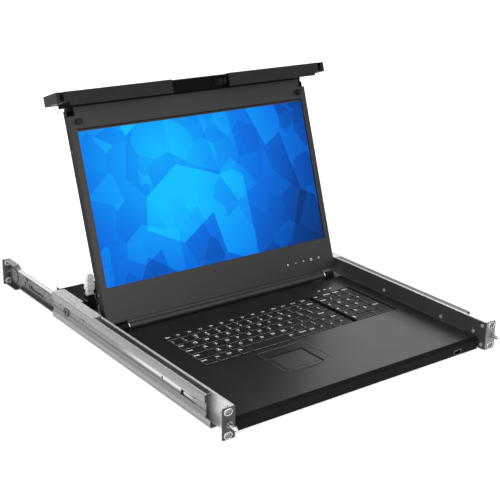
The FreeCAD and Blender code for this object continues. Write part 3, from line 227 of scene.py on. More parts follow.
def add_group(tree, group, **values):
    """Place a node group with its own values; return what it puts out."""
    return wired(tree, "Group", values, node_tree=group).outputs[0]


def colour_ramp(tree, source, stops):
    """Turn a 0 to 1 value into colours; stops are (place, (r, g, b))."""
    ramp = wired(tree, "ValToRGB", {"Fac": source})
    elements = ramp.color_ramp.elements
    while len(elements) < len(stops):
        elements.new(0.5)
    for element, (place, colour) in zip(elements, stops):
        element.position = place
        element.color = (*colour, 1)
    return ramp.outputs["Color"]


def value_range(tree, source, low, high):
    """Spread a 0 to 1 value between two numbers."""
    return wired(tree, "MapRange", {"To Min": low, "To Max": high, "Value": source}).outputs["Result"]


def surface(tree, shader, colour, gloss, texture, distance):
    """Feed a shader its colour, its roughness, and a fine texture raised by a distance in metres."""
    feed(tree, shader, {"Base Color": colour})
    if gloss:
        feed(tree, shader, {"Roughness": value_range(tree, *gloss)})
    if distance:
        bump = wired(tree, "Bump", {"Distance": distance, "Height": texture})
        feed(tree, shader, {"Normal": bump.outputs["Normal"]})


def colour_mix(tree, mask, low, high):
    """Blend two colours, each a value or a socket, by a mask."""
    low, high = ((*colour, 1) if isinstance(colour, tuple) else colour for colour in (low, high))
    return wired(tree, "Mix", {"Factor": mask, "A": low, "B": high}, data_type="RGBA").outputs["Result"]


def zinc(name, dark, light, smooth, rough, metallic=0.62, cloud=60, streak=0.5, reach=0.010, depth=3.0,
         fold=(0.62, 0.63, 0.64), corner_shade_colour=(0.05,) * 3):
    """Zinc-coated steel: bloom and drawn lines, folds brighter as wear and a painted highlight, and painted shade
    in its corners.
    """
    material, tree, shader = finish(name, 0.4, metallic=metallic)
    bloom = add_group(tree, sheet_grain, Scale=cloud, Stretch=0.4)
    drawn = add_group(tree, sheet_grain, Scale=420, Stretch=0.004)
    lines = add_group(tree, sheet_grain, Scale=900, Stretch=0.02)
    # worn edges and a painted highlight: the folds turn towards the fold colour
    edge = add_group(tree, edge_wear_and_highlight, Radius=0.0007, Strength=3)
    # painted shade: the colour darkens towards the corner shade colour in the part's own corners
    corner = add_group(tree, painted_corner_shade, Reach=reach, Depth=depth)
    both_grains = work_out(tree, "MULTIPLY_ADD", drawn, streak, value_range(tree, bloom, 0.0, 1 - streak))
    ramp = colour_ramp(tree, both_grains, ((0.36, dark), (0.64, light)))
    folded = colour_mix(tree, edge, ramp, fold)
    surface(tree, shader, colour_mix(tree, corner, corner_shade_colour, folded), (lines, smooth, rough), lines, 0.00004)
    return material


def part_axes(tree):
    """The part's own X, Y and Z, in metres."""
    place = wired(tree, "TexCoord")
    return wired(tree, "SeparateXYZ", {"Vector": place.outputs["Object"]}).outputs


def paint_zone(material, axis, painted, bare, colour, roughness, mirrored=False):
    """Give one end of a part, or both, another colour and gloss, fading between two places."""
    tree = material.node_tree
    shader = tree.nodes["Principled BSDF"]
    distance = part_axes(tree)[axis]
    if mirrored:
        distance = work_out(tree, "ABSOLUTE", distance)
    unpainted = wired(tree, "MapRange", {"From Min": painted, "From Max": bare, "Value": distance})
    for socket, value in (("Base Color", colour), ("Roughness", (roughness,) * 3)):
        coat = shader.inputs[socket].links[0].from_socket
        feed(tree, shader, {socket: colour_mix(tree, unpainted.outputs["Result"], value, coat)})


STRIP_HALF = 22.0  # half the height of the rolled strips
RIB_HIGHLIGHT = (0.62, 0.625, 0.63)


def painted_height_shading(material, stops, rib, ends):
    """Paint shade and light on a rolled strip along its height, and a painted highlight on one rib between two
    places along Y.
    """
    tree = material.node_tree
    colour = tree.nodes["Principled BSDF"].inputs["Base Color"]
    axes = part_axes(tree)
    height = wired(tree, "MapRange", {"From Min": -STRIP_HALF * MM, "From Max": STRIP_HALF * MM,
                                      "Value": axes["Z"]})
    tones = colour_ramp(tree, height.outputs["Result"],
                        [((z + STRIP_HALF) / (2 * STRIP_HALF), (tone,) * 3) for z, tone in stops])
    toned = wired(tree, "Mix", {"Factor": 1, "A": colour.links[0].from_socket, "B": tones},
                  data_type="RGBA", blend_type="MULTIPLY")
    mask = 1
    for axis, (low, full, fall, high) in (("Z", rib), ("Y", ends)):
        for start, end in ((low, full), (high, fall)):
            side = wired(tree, "MapRange", {"From Min": start * MM, "From Max": end * MM, "Value": axes[axis]},
                         interpolation_type="SMOOTHSTEP")
            mask = work_out(tree, "MULTIPLY", mask, side.outputs["Result"])
    tree.links.new(colour_mix(tree, mask, toned.outputs["Result"], RIB_HIGHLIGHT), colour)


WELD_GAP, SHARP_FOLD = 0.000005, math.radians(40)


def clothe(names, material, edge=0.0):
    """Put a material on CAD nodes and break their sharp edges by a small bevel."""
    for name in names:
        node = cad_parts[name]
        node.material_slots[0].material = material
        if edge:
            node.modifiers.new("weld", "WELD").merge_threshold = WELD_GAP
            bevel = node.modifiers.new("broken_edges", "BEVEL")
            bevel.width, bevel.segments = edge, 2
            bevel.limit_method, bevel.angle_limit = "ANGLE", SHARP_FOLD
            bevel.use_clamp_overlap = False
            node.modifiers.new("even_shading", "WEIGHTED_NORMAL").keep_sharp = True


def both(*names):
    """Left and right names of paired parts."""
    return ["%s_%s" % (name, side) for name in names for side in ("left", "right")]


SHEET_EDGE = 0.25 * MM
galvanised = zinc("galvanised_strip", (0.27, 0.272, 0.275), (0.37, 0.373, 0.376), 0.34, 0.50, cloud=520,
                  streak=0.45)
# painted shade and light by height along the rails, and a painted highlight on the rib
painted_height_shading(galvanised, (  # tones at heights, up the strip
    (-22, 1.0), (-20.3, 0.58), (-14, 0.86), (-8, 0.80), (-4.4, 0.74), (-2.6, 0.26), (-1.2, 0.34), (0.6, 0.66),
    (10, 0.84), (17, 0.80), (20.4, 0.74), (21.4, 1.0)), rib=(0.8, 2.8, 5.5, 8.8), ends=(62, 90, 190, 275))
clothe(both("support_rail"), galvanised, SHEET_EDGE)
spangled = zinc("spangled_strip", (0.09, 0.092, 0.094), (0.36, 0.363, 0.366), 0.36, 0.58, cloud=620, streak=0.1)
# painted shade and light by height on the rear brackets, and a painted highlight on the upper rib
painted_height_shading(spangled, ((-22, 0.55), (-15, 0.60), (8, 0.66), (13.5, 0.80), (15.6, 1.0), (22, 1.0)),
             rib=(12.5, 14.5, 17.0, 18.0), ends=(290, 300, 586, 590))
clothe(both("rear_bracket"), spangled, SHEET_EDGE)

FLANGE_FRONT, FLANGE_BACK = 1.8 * MM, 2.2 * MM  # the darkened front of a bracket, a painted shade, ends between them
# painted shade: each bracket's front is darkened, far more on the left than on the right
for side, flange_front_shade in (("left", 0.055), ("right", 0.22)):
    flanged = zinc("flanged_strip_" + side, (0.52, 0.523, 0.526), (0.66, 0.663, 0.666), 0.40, 0.56, cloud=520,
                   streak=0.35, reach=0.003, depth=1.0)
    paint_zone(flanged, "Y", FLANGE_FRONT, FLANGE_BACK, (flange_front_shade,) * 3, 0.42)
    clothe(["front_bracket_" + side], flanged, SHEET_EDGE)

# ------
# Black sheet: the fixed side walls, the rear cross panel, the tray's pan and the controller box.
# Folded steel under a fine-textured black powder coat, paler along the folds where it is thinned and as a painted
# highlight, with painted shade in its corners.


def powder_coat(name, colour, smooth, rough, pebble=0.00003, specular=0.5):
    """Powder coat: slight mottling, a fine pebble, folds paler as wear and a painted highlight, and painted shade
    in its corners.
    """
    material, tree, shader = finish(name, rough, specular=specular)
    mottle = add_group(tree, sheet_grain, Scale=28, Stretch=1)
    pebbles = add_group(tree, sheet_grain, Scale=2200, Stretch=1)
    # worn edges and a painted highlight: the folds turn three times paler
    edge = add_group(tree, edge_wear_and_highlight, Radius=0.0006, Strength=2)
    # painted shade: the corners fall to a quarter of the coat's colour
    corner = add_group(tree, painted_corner_shade, Reach=0.003, Depth=2)
    deep, mottled, pale = (tuple(share * c for c in colour) for share in (0.25, 0.8, 3))
    ramp = colour_ramp(tree, mottle, ((0.3, mottled), (0.7, colour)))
    folded = colour_mix(tree, edge, ramp, pale)
    surface(tree, shader, colour_mix(tree, corner, deep, folded), (mottle, smooth, rough), pebbles, pebble)
    return material


black_sheet = powder_coat("black_powder_coat", (0.046,) * 3, 0.36, 0.50)
clothe(both("side_wall") + ["rear_panel", "drawer_pan", "controller_box"], black_sheet, 0.2 * MM)

# ------
# Pins, bolts and screws: locating and hinge pins turned from bar and plated bright, shouldered rail
# bolts under a dark plating, and the side walls' low pale screws with their cross recesses.


def piece_from(mesh, name, *materials, smooth=False, placed=Matrix()):
    """Make an object of a finished bmesh and its materials."""
    bmesh.ops.recalc_face_normals(mesh, faces=mesh.faces)
    data = bpy.data.meshes.new(name)
    for face in mesh.faces:
        face.smooth = smooth and len(face.verts) == 4
    mesh.to_mesh(data)
    mesh.free()
    for material in materials:
        data.materials.append(material)
    data.transform(placed)
    piece = bpy.data.objects.new(name, data)
    scene.collection.objects.link(piece)
    return piece


def standing(spot, way):
    """Placing matrix whose Z axis leaves a spot, in millimetres, along a direction."""
    return Matrix.Translation(Vector(spot) * MM) @ Vector(way).to_track_quat("Z", "Y").to_matrix().to_4x4()


def points(mesh, spots, place=Matrix()):
    """Add points, given in millimetres in a placing matrix's own frame."""
    return [mesh.verts.new(place @ (Vector(spot) * MM)) for spot in spots]


def round_steps(count, shift=0.0):
    """Angles at equal steps round a turn."""
    return [2 * math.pi * (k + shift) / count for k in range(count)]


def skin(mesh, loops, closed=True, material=0):
    """Join each row of points to the next by a band of faces."""
    count = len(loops[0])
    for lower, upper in zip(loops, loops[1:]):
        for k in range(count if closed else count - 1):
            after = (k + 1) % count
            mesh.faces.new((lower[k], lower[after], upper[after], upper[k])).material_index = material


def turned_form(mesh, profile, place, count=20, capped=False):
    """Revolve (radius, height) points, in millimetres, about a placing matrix's Z axis."""
    turns = round_steps(count)
    rings = [points(mesh, [(radius * math.cos(a), radius * math.sin(a), height) for a in turns], place)
             for radius, height in profile]
    skin(mesh, rings)
    if capped:
        mesh.faces.new(rings[-1])


def cross_recess(mesh, place, reach, height):
    """Flat dark cross of a screw, in the second material: painted shade standing for the hollow recess."""
    arm = reach * 0.28
    outline = ((reach, arm), (arm, arm), (arm, reach), (-arm, reach), (-arm, arm), (-reach, arm),
               (-reach, -arm), (-arm, -arm), (-arm, -reach), (arm, -reach), (arm, -arm), (reach, -arm))
    mesh.faces.new(points(mesh, [(x, y, height) for x, y in outline], place)).material_index = 1


def screw(mesh, place, radius):
    """Low domed head on a surface, with its cross recess."""
    profile = ((radius, -0.2), (radius, 0.18 * radius), (0.82 * radius, 0.42 * radius),
               (0.5 * radius, 0.54 * radius))
    turned_form(mesh, profile, place, capped=True)
    cross_recess(mesh, place, 0.48 * radius, 0.56 * radius)


def screw_set(name, heads):
    """One piece of low dark screws, each a placing matrix and its head's radius."""
    mesh = bmesh.new()
    for place, radius in heads:
        screw(mesh, place, radius)
    return piece_from(mesh, name, dark_plate, black_and_painted_shade, smooth=True)


def grained(name, roughness, scale, dark, light, specular=0.5, stops=(0.3, 0.7), bump=0.0):
    """Plain material mottled between two colours, with a bump in metres."""
    material, tree, shader = finish(name, roughness, specular=specular)
    grain = add_group(tree, sheet_grain, Scale=scale, Stretch=1)
    surface(tree, shader, colour_ramp(tree, grain, list(zip(stops, (dark, light)))), None, grain, bump)
    return material


bright_plate = zinc("bright_plating", (0.50, 0.50, 0.51), (0.68, 0.68, 0.69), 0.18, 0.32, metallic=1.0,
                    fold=(0.8,) * 3)
clothe(["locating_pins", "hinge_pins"], bright_plate)
pale_plate = zinc("pale_plating", (0.42,) * 3, (0.6,) * 3, 0.4, 0.55, metallic=0.3)
clothe(["wall_screws"], pale_plate)
dark_plate = zinc("dark_plating", (0.06, 0.06, 0.062), (0.12, 0.12, 0.122), 0.3, 0.45, metallic=0.8,
                  fold=(0.3,) * 3, corner_shade_colour=(0.01,) * 3)
clothe(["rail_bolts", "latch_plates"], dark_plate)
# near black for the window flaps and socket wells, and painted shade for screw recesses and shadow lines
black_and_painted_shade = grained("black_and_painted_shade", 0.8, 800, (0.004,) * 3, (0.012, 0.012, 0.011), specular=0.2)

WALL_SCREWS = ((7.3, 14.875), (7.3, -14.875), (23.5, 1.0), (89.0, 1.0), (214.0, 2.5))  # along the wall, height
HEAD_FACE = 220.7
# painted shade: the wall screws' recesses are flat near-black crosses
marks = bmesh.new()
for side in (-1, 1):
    for along, height in WALL_SCREWS:
        cross_recess(marks, standing((side * HEAD_FACE, along, height), (-side, 0, 0)), 1.0, 0.03)
wall_recesses = piece_from(marks, "wall_screw_recesses", bright_plate, black_and_painted_shade)
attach(wall_recesses, "rack_frame")

# ------
# Rack holes and rail bolts: plated rims pressed round the front flanges' slots, threaded inserts
# clipped to the inner faces of all flanges, rivets near each fold, and a dished ring round each
# socket bolt of the rails.
HOLE_X, HOLE_Z = 232.55, 15.875
RACK_HOLES = [(side * HOLE_X, height) for side in (-1, 1) for height in (-HOLE_Z, HOLE_Z)]
RIM = ((6.3, 4.8, 0), (6.1, 4.6, 0.45), (5.3, 3.8, 0.5), (5.0, 3.5, 0.1), (5.0, 3.5, -1.8))
rims = bmesh.new()
for x, height in RACK_HOLES:
    loops = []
    for half_length, half_width, proud in RIM:
        straight = half_length - half_width
        loops.append(points(rims, [
            (half_width * math.cos(a) + math.copysign(straight, math.cos(a)), half_width * math.sin(a), proud)
            for a in round_steps(24, 0.5)], standing((x, 0, height), (0, -1, 0))))
    skin(rims, loops)
hole_rims = piece_from(rims, "rack_hole_rims", bright_plate, smooth=True)
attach(hole_rims, "rack_frame")

INSERT = ((2.3, 0), (2.7, 0.2), (4.6, 0), (5.4, 0.1), (5.6, 0.7), (5.6, 1.5), (4.8, 1.9), (2.9, 1.9), (2.3, 1.4))
STOP_RADIUS, STOP_DEPTH = 2.35, 0.35  # the disc that closes each insert's bore
FLANGE_BACKS = ((2.1, 1), (632.9, -1))  # where the inserts sit along Y, and the way they stand
nuts = bmesh.new()
for x, height in RACK_HOLES:
    for along, way in FLANGE_BACKS:
        place = standing((x, along, height), (0, way, 0))
        turned_form(nuts, INSERT, place, count=24)
        nuts.faces.new(points(nuts, [(STOP_RADIUS * math.cos(a), STOP_RADIUS * math.sin(a), STOP_DEPTH)
                                     for a in round_steps(16)], place))
clip_nuts = piece_from(nuts, "rack_clip_nuts", pale_plate, smooth=True)
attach(clip_nuts, "rack_frame")

RIVETS = ((12.9, 16.4, 1.3), (27.5, 1.2, 1.1), (14.0, -16.0, 1.1))  # along the bracket, height, radius
BRACKET_FACE = 224.9
pips = bmesh.new()
for side in (-1, 1):
    for along, height, radius in RIVETS:
        turned_form(pips, ((radius, -0.1), (radius, 0.12), (0.6 * radius, 0.3)),
                    standing((side * BRACKET_FACE, along, height), (side, 0, 0)), count=12, capped=True)
bracket_rivets = piece_from(pips, "bracket_rivets", dark_plate, smooth=True)
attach(bracket_rivets, "rack_frame")

RAIL_BOLT = (234.6, 419.0, 1.5)  # where each socket bolt leaves the rail, and the ring round it
WASHER = ((5.2, 0.02), (5.4, 1.8), (6.2, 2.4), (7.0, 2.2), (7.6, 1.4), (7.7, 0.02))
washers = bmesh.new()
for side in (-1, 1):
    across, along, height = RAIL_BOLT
    turned_form(washers, WASHER, standing((side * across, along, height), (side, 0, 0)), count=32)
bolt_washers = piece_from(washers, "bolt_washers", dark_plate, smooth=True)
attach(bolt_washers, "rack_frame")

# ------
# Ball slides: three rolled members on each side, with retainers of thin strip that carry balls.
# Zinc-plated steel with a light film of grease, so it is smoother than the rails.
slide_zinc = zinc("slide_zinc", (0.36, 0.37, 0.38), (0.50, 0.51, 0.52), 0.24, 0.4)
clothe(both("slide_outer", "slide_middle", "slide_inner", "ball_cage_outer", "ball_cage_inner"), slide_zinc)

# ------
# Slide covers: stepped zinc plates over the slides' rear ends, the bright top edge of each wall and
# a dark slotted strip beside it, of thin strip with its long edges rolled down.  A flat strip of
# spangled zinc shows through the slot of each rear bracket.


def moulding(mesh, outline, start, end):
    """Length of an open (x, height) outline along Y, closed at both ends, in millimetres."""
    rings = [points(mesh, [(x, along, z) for x, z in outline]) for along in (start, end)]
    skin(mesh, rings, closed=False)
    for ring in rings:
        mesh.faces.new(ring)


def folded_strip(mesh, side, inner, outer, start, end, top, drop=1.2, roll=0.4):
    """Strip lying along Y whose long edges are rolled down."""
    outline = ((inner, top - drop), (inner, top - roll), (inner + roll, top), (outer - roll, top),
               (outer, top - roll), (outer, top - drop))
    moulding(mesh, [(side * x, z) for x, z in outline], start, end)


COVERS = (  # inner and outer edge, start and end along Y, top
    (217.0, 236.0, 398.0, 459.0, 21.95), (220.6, 236.0, 334.0, 397.6, 21.85), (221.5, 223.1, 3.0, 333.6, 21.8))
cover_strips = bmesh.new()
for side in (-1, 1):
    for cover in COVERS:
        folded_strip(cover_strips, side, *cover)
cover_zinc = zinc("cover_zinc", (0.34, 0.343, 0.346), (0.56, 0.563, 0.566), 0.3, 0.44, cloud=330, streak=0.3,
                  reach=0.002, depth=1.2)
top_covers = piece_from(cover_strips, "slide_cover_strips", cover_zinc)
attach(top_covers, "rack_frame")

TOOTH_COUNT, TOOTH_START, TOOTH_PITCH, TOOTH_LENGTH = 70, 48.0, 4.07, 2.0
teeth = bmesh.new()
for side in (-1, 1):
    folded_strip(teeth, side, 226.6, 233.4, 46.0, 333.0, 21.62, drop=0.1, roll=0.05)
    for k in range(TOOTH_COUNT):
        start = TOOTH_START + TOOTH_PITCH * k
        folded_strip(teeth, side, 227.2, 232.8, start, start + TOOTH_LENGTH, 21.95, drop=0.3, roll=0.12)
comb_strips = piece_from(teeth, "slotted_strips", dark_plate)
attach(comb_strips, "rack_frame")

BACKING_X, BACKING = 227.4, ((500, -10), (566, -10), (566, 6), (500, 6))  # (Y, height) of its corners
backing = bmesh.new()
for side in (-1, 1):
    backing.faces.new(points(backing, [(side * BACKING_X, y, z) for y, z in BACKING]))
slot_backing = piece_from(backing, "slot_backing", spangled)
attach(slot_backing, "rack_frame")

# ------
# Deck: the tray's top sheet with its bevelled lip, key wells and touchpad recess.
# Steel with a satin black coat, smoother than the walls, that shows soft grey reflections.
deck_coat = powder_coat("deck_satin_black", (0.015,) * 3, 0.34, 0.42, pebble=0.000015, specular=0.22)
clothe(["deck"], deck_coat, 0.3 * MM)

deck_low, deck_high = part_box("deck")
LIP_DEPTH = 5.2 * MM  # how far the lip's dull facing reaches back from the deck's front edge
LIP_FADE = 0.4 * MM
lip_end = deck_low.y + LIP_DEPTH
paint_zone(deck_coat, "Y", lip_end - LIP_FADE, lip_end, (0.003,) * 3, 0.62)

# ------
# Lip facing: a thin moulded strip clipped over the deck's front lip, open round the socket.
# Dull black plastic that hides the folded edge of the sheet.
port_low, port_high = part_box("front_port")
PROUD = 0.3 * MM  # how far the facing stands out from the lip
PORT_GAP, END_GAP = 0.4 * MM, 2.6 * MM
facing_lines = (  # (Y, Z) from the deck's top, over the bevel and down the lip
    (deck_low.y + 5.3 * MM, deck_high.z + 0.02 * MM), (deck_low.y + 4.9 * MM, deck_high.z + PROUD * 0.8),
    (deck_low.y - PROUD * 0.6, deck_high.z - 4.7 * MM), (deck_low.y - PROUD, deck_high.z - 5.3 * MM),
    (deck_low.y - PROUD, port_high.z + PORT_GAP), (deck_low.y - PROUD, port_low.z - PORT_GAP),
    (deck_low.y - PROUD, deck_low.z + 0.2 * MM), (deck_low.y + 0.2 * MM, deck_low.z - 0.1 * MM))
columns = (deck_low.x + END_GAP, port_low.x - PORT_GAP, port_high.x + PORT_GAP, deck_high.x - END_GAP)
PORT_CELL = (4, 1)  # row and column of the facing that the socket takes up
facing = bmesh.new()
grid = [[facing.verts.new((x, y, z)) for x in columns] for y, z in facing_lines]
for row, (upper, lower) in enumerate(zip(grid, grid[1:])):
    for column in range(len(columns) - 1):
        if (row, column) != PORT_CELL:
            facing.faces.new((upper[column], lower[column], lower[column + 1], upper[column + 1]))
lip_black = powder_coat("lip_dull_black", (0.005,) * 3, 0.5, 0.6, specular=0.08)
lip_facing = piece_from(facing, "lip_facing", lip_black)
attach(lip_facing, "drawer")

# ------
# Controller box: a folded black cover at the back of the tray, held by low dark screws, as the
# rear panel behind it is.
BOX_TOP = -5.9
SMALL_HEAD = 2.6
box_screws = screw_set("cover_screws", [(standing((x, y, BOX_TOP), (0, 0, 1)), SMALL_HEAD)
                                        for x in (-182, -62, 62, 182) for y in (361, 427)])
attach(box_screws, "drawer")

PANEL_BACK, PANEL_SCREW_HEIGHT = 474.0, 11.5
panel_screws = screw_set("panel_screws", [(standing((x, PANEL_BACK, PANEL_SCREW_HEIGHT), (0, 1, 0)), SMALL_HEAD)
                                          for x in (-45, -204, 45, 204)])
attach(panel_screws, "rack_frame")

# ------
# Cable raceway and plug: a ribbed black duct along the tray's left rear edge, saddles that hold
# it to the box, and a white nylon plug standing in a black socket.  All moulded and clipped on.
RIB_COUNT, RIB_START, RIB_PITCH, RIB_LENGTH, RIB_PROUD = 22, 350.0, 4.0, 3.98, 0.8
duct = bmesh.new()
for k in range(RIB_COUNT):
    start = RIB_START + RIB_PITCH * k
    proud = RIB_PROUD if k % 2 else 0.0
    moulding(duct, ((-206.0, -18.5), (-206.0, -4.0 + proud), (-203.5, -1.2 + proud), (-195.5, -1.2 + proud),
                    (-193.0, -4.0 + proud), (-193.0, -18.5)), start, start + RIB_LENGTH)
SADDLE_X, SADDLE_PLACES = -178, (366.0, 391.0, 416.0)
SADDLE = ((5.2, 0), (6.6, 0.6), (6.9, 3.0), (6.6, 5.4), (5.2, 6.0))  # radius, distance along Y
for along in SADDLE_PLACES:
    arch = [points(duct, [(SADDLE_X + r * math.cos(a), along + step, BOX_TOP + r * math.sin(a))
                          for r, step in SADDLE]) for a in (math.pi * k / 12 for k in range(13))]
    skin(duct, arch, closed=False)
gloss_black = powder_coat("moulded_gloss_black", (0.012,) * 3, 0.12, 0.2)
raceway = piece_from(duct, "cable_raceway", gloss_black, smooth=True)
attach(raceway, "drawer")


def rounded_rings(mesh, left, low, right_side, high, layers, steps=4, unit=MM):
    """Rounded rectangles, one for each layer's (inset, height, corner radius)."""
    rings = []
    for inset, height, radius in layers:
        near, far = inset + radius, -inset - radius
        corners = ((right_side + far, high + far, 0), (left + near, high + far, 90),
                   (left + near, low + near, 180), (right_side + far, low + near, 270))
        turns = [(x, y, math.radians(start + 90 * step / (steps - 1)))
                 for x, y, start in corners for step in range(steps)]
        rings.append([mesh.verts.new(Vector((x + radius * math.cos(a), y + radius * math.sin(a), height)) * unit)
                      for x, y, a in turns])
    return rings


nylon = grained("white_nylon", 0.5, 350, (0.80, 0.795, 0.78), (0.92, 0.92, 0.91))
PLUG_BODY = ((1.4, 18), (1.4, 25), (0.0, 26), (0.0, 36), (0.9, 37), (0.9, 45), (2.4, 50), (3.0, 51))
PLUG_SOCKET = ((0, BOX_TOP), (0, 9), (1.2, 10.5), (1.2, 17.5), (2.4, 18.4))
housing = bmesh.new()
for outline, profile, radius, material in (((-197.5, 422, -183.5, 433), PLUG_BODY, 1.6, 0),
                                           ((-199, 420, -182, 435), PLUG_SOCKET, 2, 1)):
    loops = rounded_rings(housing, *outline, [(inset, height, radius) for inset, height in profile])
    skin(housing, loops, material=material)
    housing.faces.new(loops[-1]).material_index = material
white_plug = piece_from(housing, "white_plug", nylon, gloss_black)
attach(white_plug, "drawer")

# ------
# Window flaps: ribbed rubber flaps that close the outer end of each cable window, above and below
# the cables.  They are clamped to the inner face of the rear panel's sheet.
FLAP_RIBS, FLAP_START, FLAP_PITCH, FLAP_PROUD = 57, 138.5, 0.5, 0.15
FLAP_FACES, FLAP_HEIGHTS = (471.4, 472.6), ((-16.0, -4.1), (-3.9, 8.0))
flaps = bmesh.new()
for side in (-1, 1):
    for low, high in FLAP_HEIGHTS:
        slices = []
        for k in range(FLAP_RIBS):
            x, rib = side * (FLAP_START + FLAP_PITCH * k), FLAP_PROUD * (k % 2)
            inner, outer = FLAP_FACES[0] - rib, FLAP_FACES[1] + rib
            slices.append(points(flaps, ((x, inner, low), (x, inner, high), (x, outer, high), (x, outer, low))))
        skin(flaps, slices)
        flaps.faces.new(slices[0])
        flaps.faces.new(slices[-1])
window_brushes = piece_from(flaps, "window_brushes", black_and_painted_shade)
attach(window_brushes, "rack_frame")

# ------
# Rear sockets: the plated shells of the video, data and power sockets, each a rounded frame with a
# dark well inside.  They stand on the controller box's back, facing the windows of the rear panel.
SOCKETS = (  # middle, width, height and corner radius of each shell, seen from the back
    (-122, 26, 9.5, 2.5), (-92, 12, 9.5, 1.2), (-74, 12, 9.5, 1.2), (86, 14, 10, 1.0), (108, 14, 10, 1.0),
    (132, 9.5, 9.5, 4.2))
BOX_BACK, BOX_MIDDLE = 434.0, -12.6
SHELL_PROUD, SHELL_WALL, WELL_FLOOR = 3.2, 0.8, 0.3
facing_back = Matrix(((-1, 0, 0, 0), (0, 0, 1, BOX_BACK * MM), (0, 1, 0, 0), (0, 0, 0, 1)))
shells = bmesh.new()
for middle, width, height, radius in SOCKETS:
    well = rounded_rings(shells, middle - width / 2, BOX_MIDDLE - height / 2, middle + width / 2,
                         BOX_MIDDLE + height / 2, [(inset, rise, radius - inset * 0.5) for inset, rise in (
                             (0, -0.2), (0, SHELL_PROUD), (SHELL_WALL, SHELL_PROUD), (SHELL_WALL, WELL_FLOOR))])
    skin(shells, well)
    shells.faces.new(well[-1]).material_index = 1
sockets = piece_from(shells, "rear_sockets", bright_plate, black_and_painted_shade, placed=facing_back)
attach(sockets, "drawer")

# ------
# Keys: moulded caps with rolled edges and a shallow dish, one piece for each row, with their
# legends printed at the upper left.  Caps stand on the guide plate's slots below the deck.
PITCH_X, KEY_GAP, PAD_START = 19.05 * MM, 0.8 * MM, 274.5 * MM
CAP_TAPER, CAP_HEIGHT, ROLL_RADIUS, INK_RISE = 1.0 * MM, 4.6 * MM, 0.45 * MM, 0.02 * MM
LETTER_WEIGHT = 0.045  # how much bolder, as a share of the height

KEY_ROWS = (  # from the front: legends, and the widths in pitches of the keys that aren't 1 wide
    ("Ctrl|Fn|Sys|Alt||Alt|Menu|Ctrl|left|down|right", {0: 1.25, 4: 3.75}),
    ("Shift|Z|X|C|V|B|N|M|< ,|> .|? /|up|End", {0: 2}),
    ("Caps|A|S|D|F|G|H|J|K|L|: ;|\" '|Enter", {0: 1.5, 12: 1.5}),
    ("Tab|Q|W|E|R|T|Y|U|I|O|P|{ [|} ]|\\", {0: 1.25, 13: 0.75}),
    ("~ `|! 1|@ 2|# 3|$ 4|% 5|^ 6|& 7|* 8|( 9|) 0|_ -|+ =|Bksp", {}),
    ("Esc|F1|F2|F3|F4|F5|F6|F7|F8|F9|F10|F11|F12|Del", {}),
)
PAD_ROWS = (("0|.", {0: 2}), ("1|2|3", {}), ("4|5|6", {}), ("7|8|9", {}), ("Num|/|*|-", {}),
            ("Ins|Home|PgUp|PgDn", {}))

key_plastic, tree, shader = finish("key_plastic", 0.5, specular=0.2)
touch_shine = add_group(tree, sheet_grain, Scale=130, Stretch=1)
texture = add_group(tree, sheet_grain, Scale=3000, Stretch=1)
key_colour = colour_ramp(tree, touch_shine, ((0.3, (0.006,) * 3), (0.7, (0.010,) * 3)))
# painted highlight: the caps' edges turn pale grey
key_edge = add_group(tree, edge_wear_and_highlight, Radius=0.0011, Strength=4)
surface(tree, shader, colour_mix(tree, key_edge, key_colour, (0.14,) * 3), (touch_shine, 0.50, 0.66), texture,
        0.00002)
# a paler grey for the caps' rolled shoulders, as a painted highlight
painted_rim_highlight = grained("painted_rim_highlight", 0.4, 260, (0.05,) * 3, (0.20,) * 3, specular=0.4, stops=(0.35, 0.65))
legend_ink = grained("legend_ink", 0.55, 900, (0.86,) * 3, (0.95,) * 3)


def keycap(mesh, left, low, right_side, high, top):
    """Tapered cap: straight skirt, rolled shoulder and a dish pressed into the top."""
    shoulder = CAP_TAPER * 0.88
    profile = (  # inset, drop below the top, corner radius
        (0, CAP_HEIGHT, 0.9), (shoulder, ROLL_RADIUS * 1.1, 1.1),
        (shoulder + ROLL_RADIUS * 0.3, ROLL_RADIUS * 0.35, 1.1), (shoulder + ROLL_RADIUS, 0, 1.0),
        (CAP_TAPER + 1.4 * MM, 0.16 * MM, 0.9), (CAP_TAPER + 3.4 * MM, 0.26 * MM, 0.8))
    rings = rounded_rings(mesh, left, low, right_side, high,
                          [(inset, top - drop, radius * MM) for inset, drop, radius in profile], unit=1)
    skin(mesh, rings[:2])
    # the rolled shoulder takes the second, paler material: a painted highlight round each cap's top
    skin(mesh, rings[1:4], material=1)
    skin(mesh, rings[3:])
    mesh.faces.new(rings[-1])
    mesh.faces.new(rings[0])


def lettering(mesh, text, x, y, z, height):
    """Add flat bold letters whose upper left corner is at (x, y)."""
    curve = bpy.data.curves.new("letters", "FONT")
    curve.body = text
    curve.size = height
    curve.offset = LETTER_WEIGHT * height
    curve.resolution_u = 2
    curve.align_y = "TOP"
    holder = bpy.data.objects.new("letters", curve)
    flat = bpy.data.meshes.new_from_object(holder)
    flat.transform(Matrix.Translation((x, y, z)))
    mesh.from_mesh(flat)
    bpy.data.objects.remove(holder)
    bpy.data.curves.remove(curve)
    bpy.data.meshes.remove(flat)


def arrowhead(mesh, direction, x, y, z, reach):
    """Small triangle for a cursor key."""
    turn = {"right": 0, "up": 90, "left": 180, "down": 270}[direction]
    spins = [math.radians(angle + turn) for angle in (0, 125, 235)]
    mesh.faces.new([mesh.verts.new((x + reach * math.cos(a), y + reach * math.sin(a), z)) for a in spins])


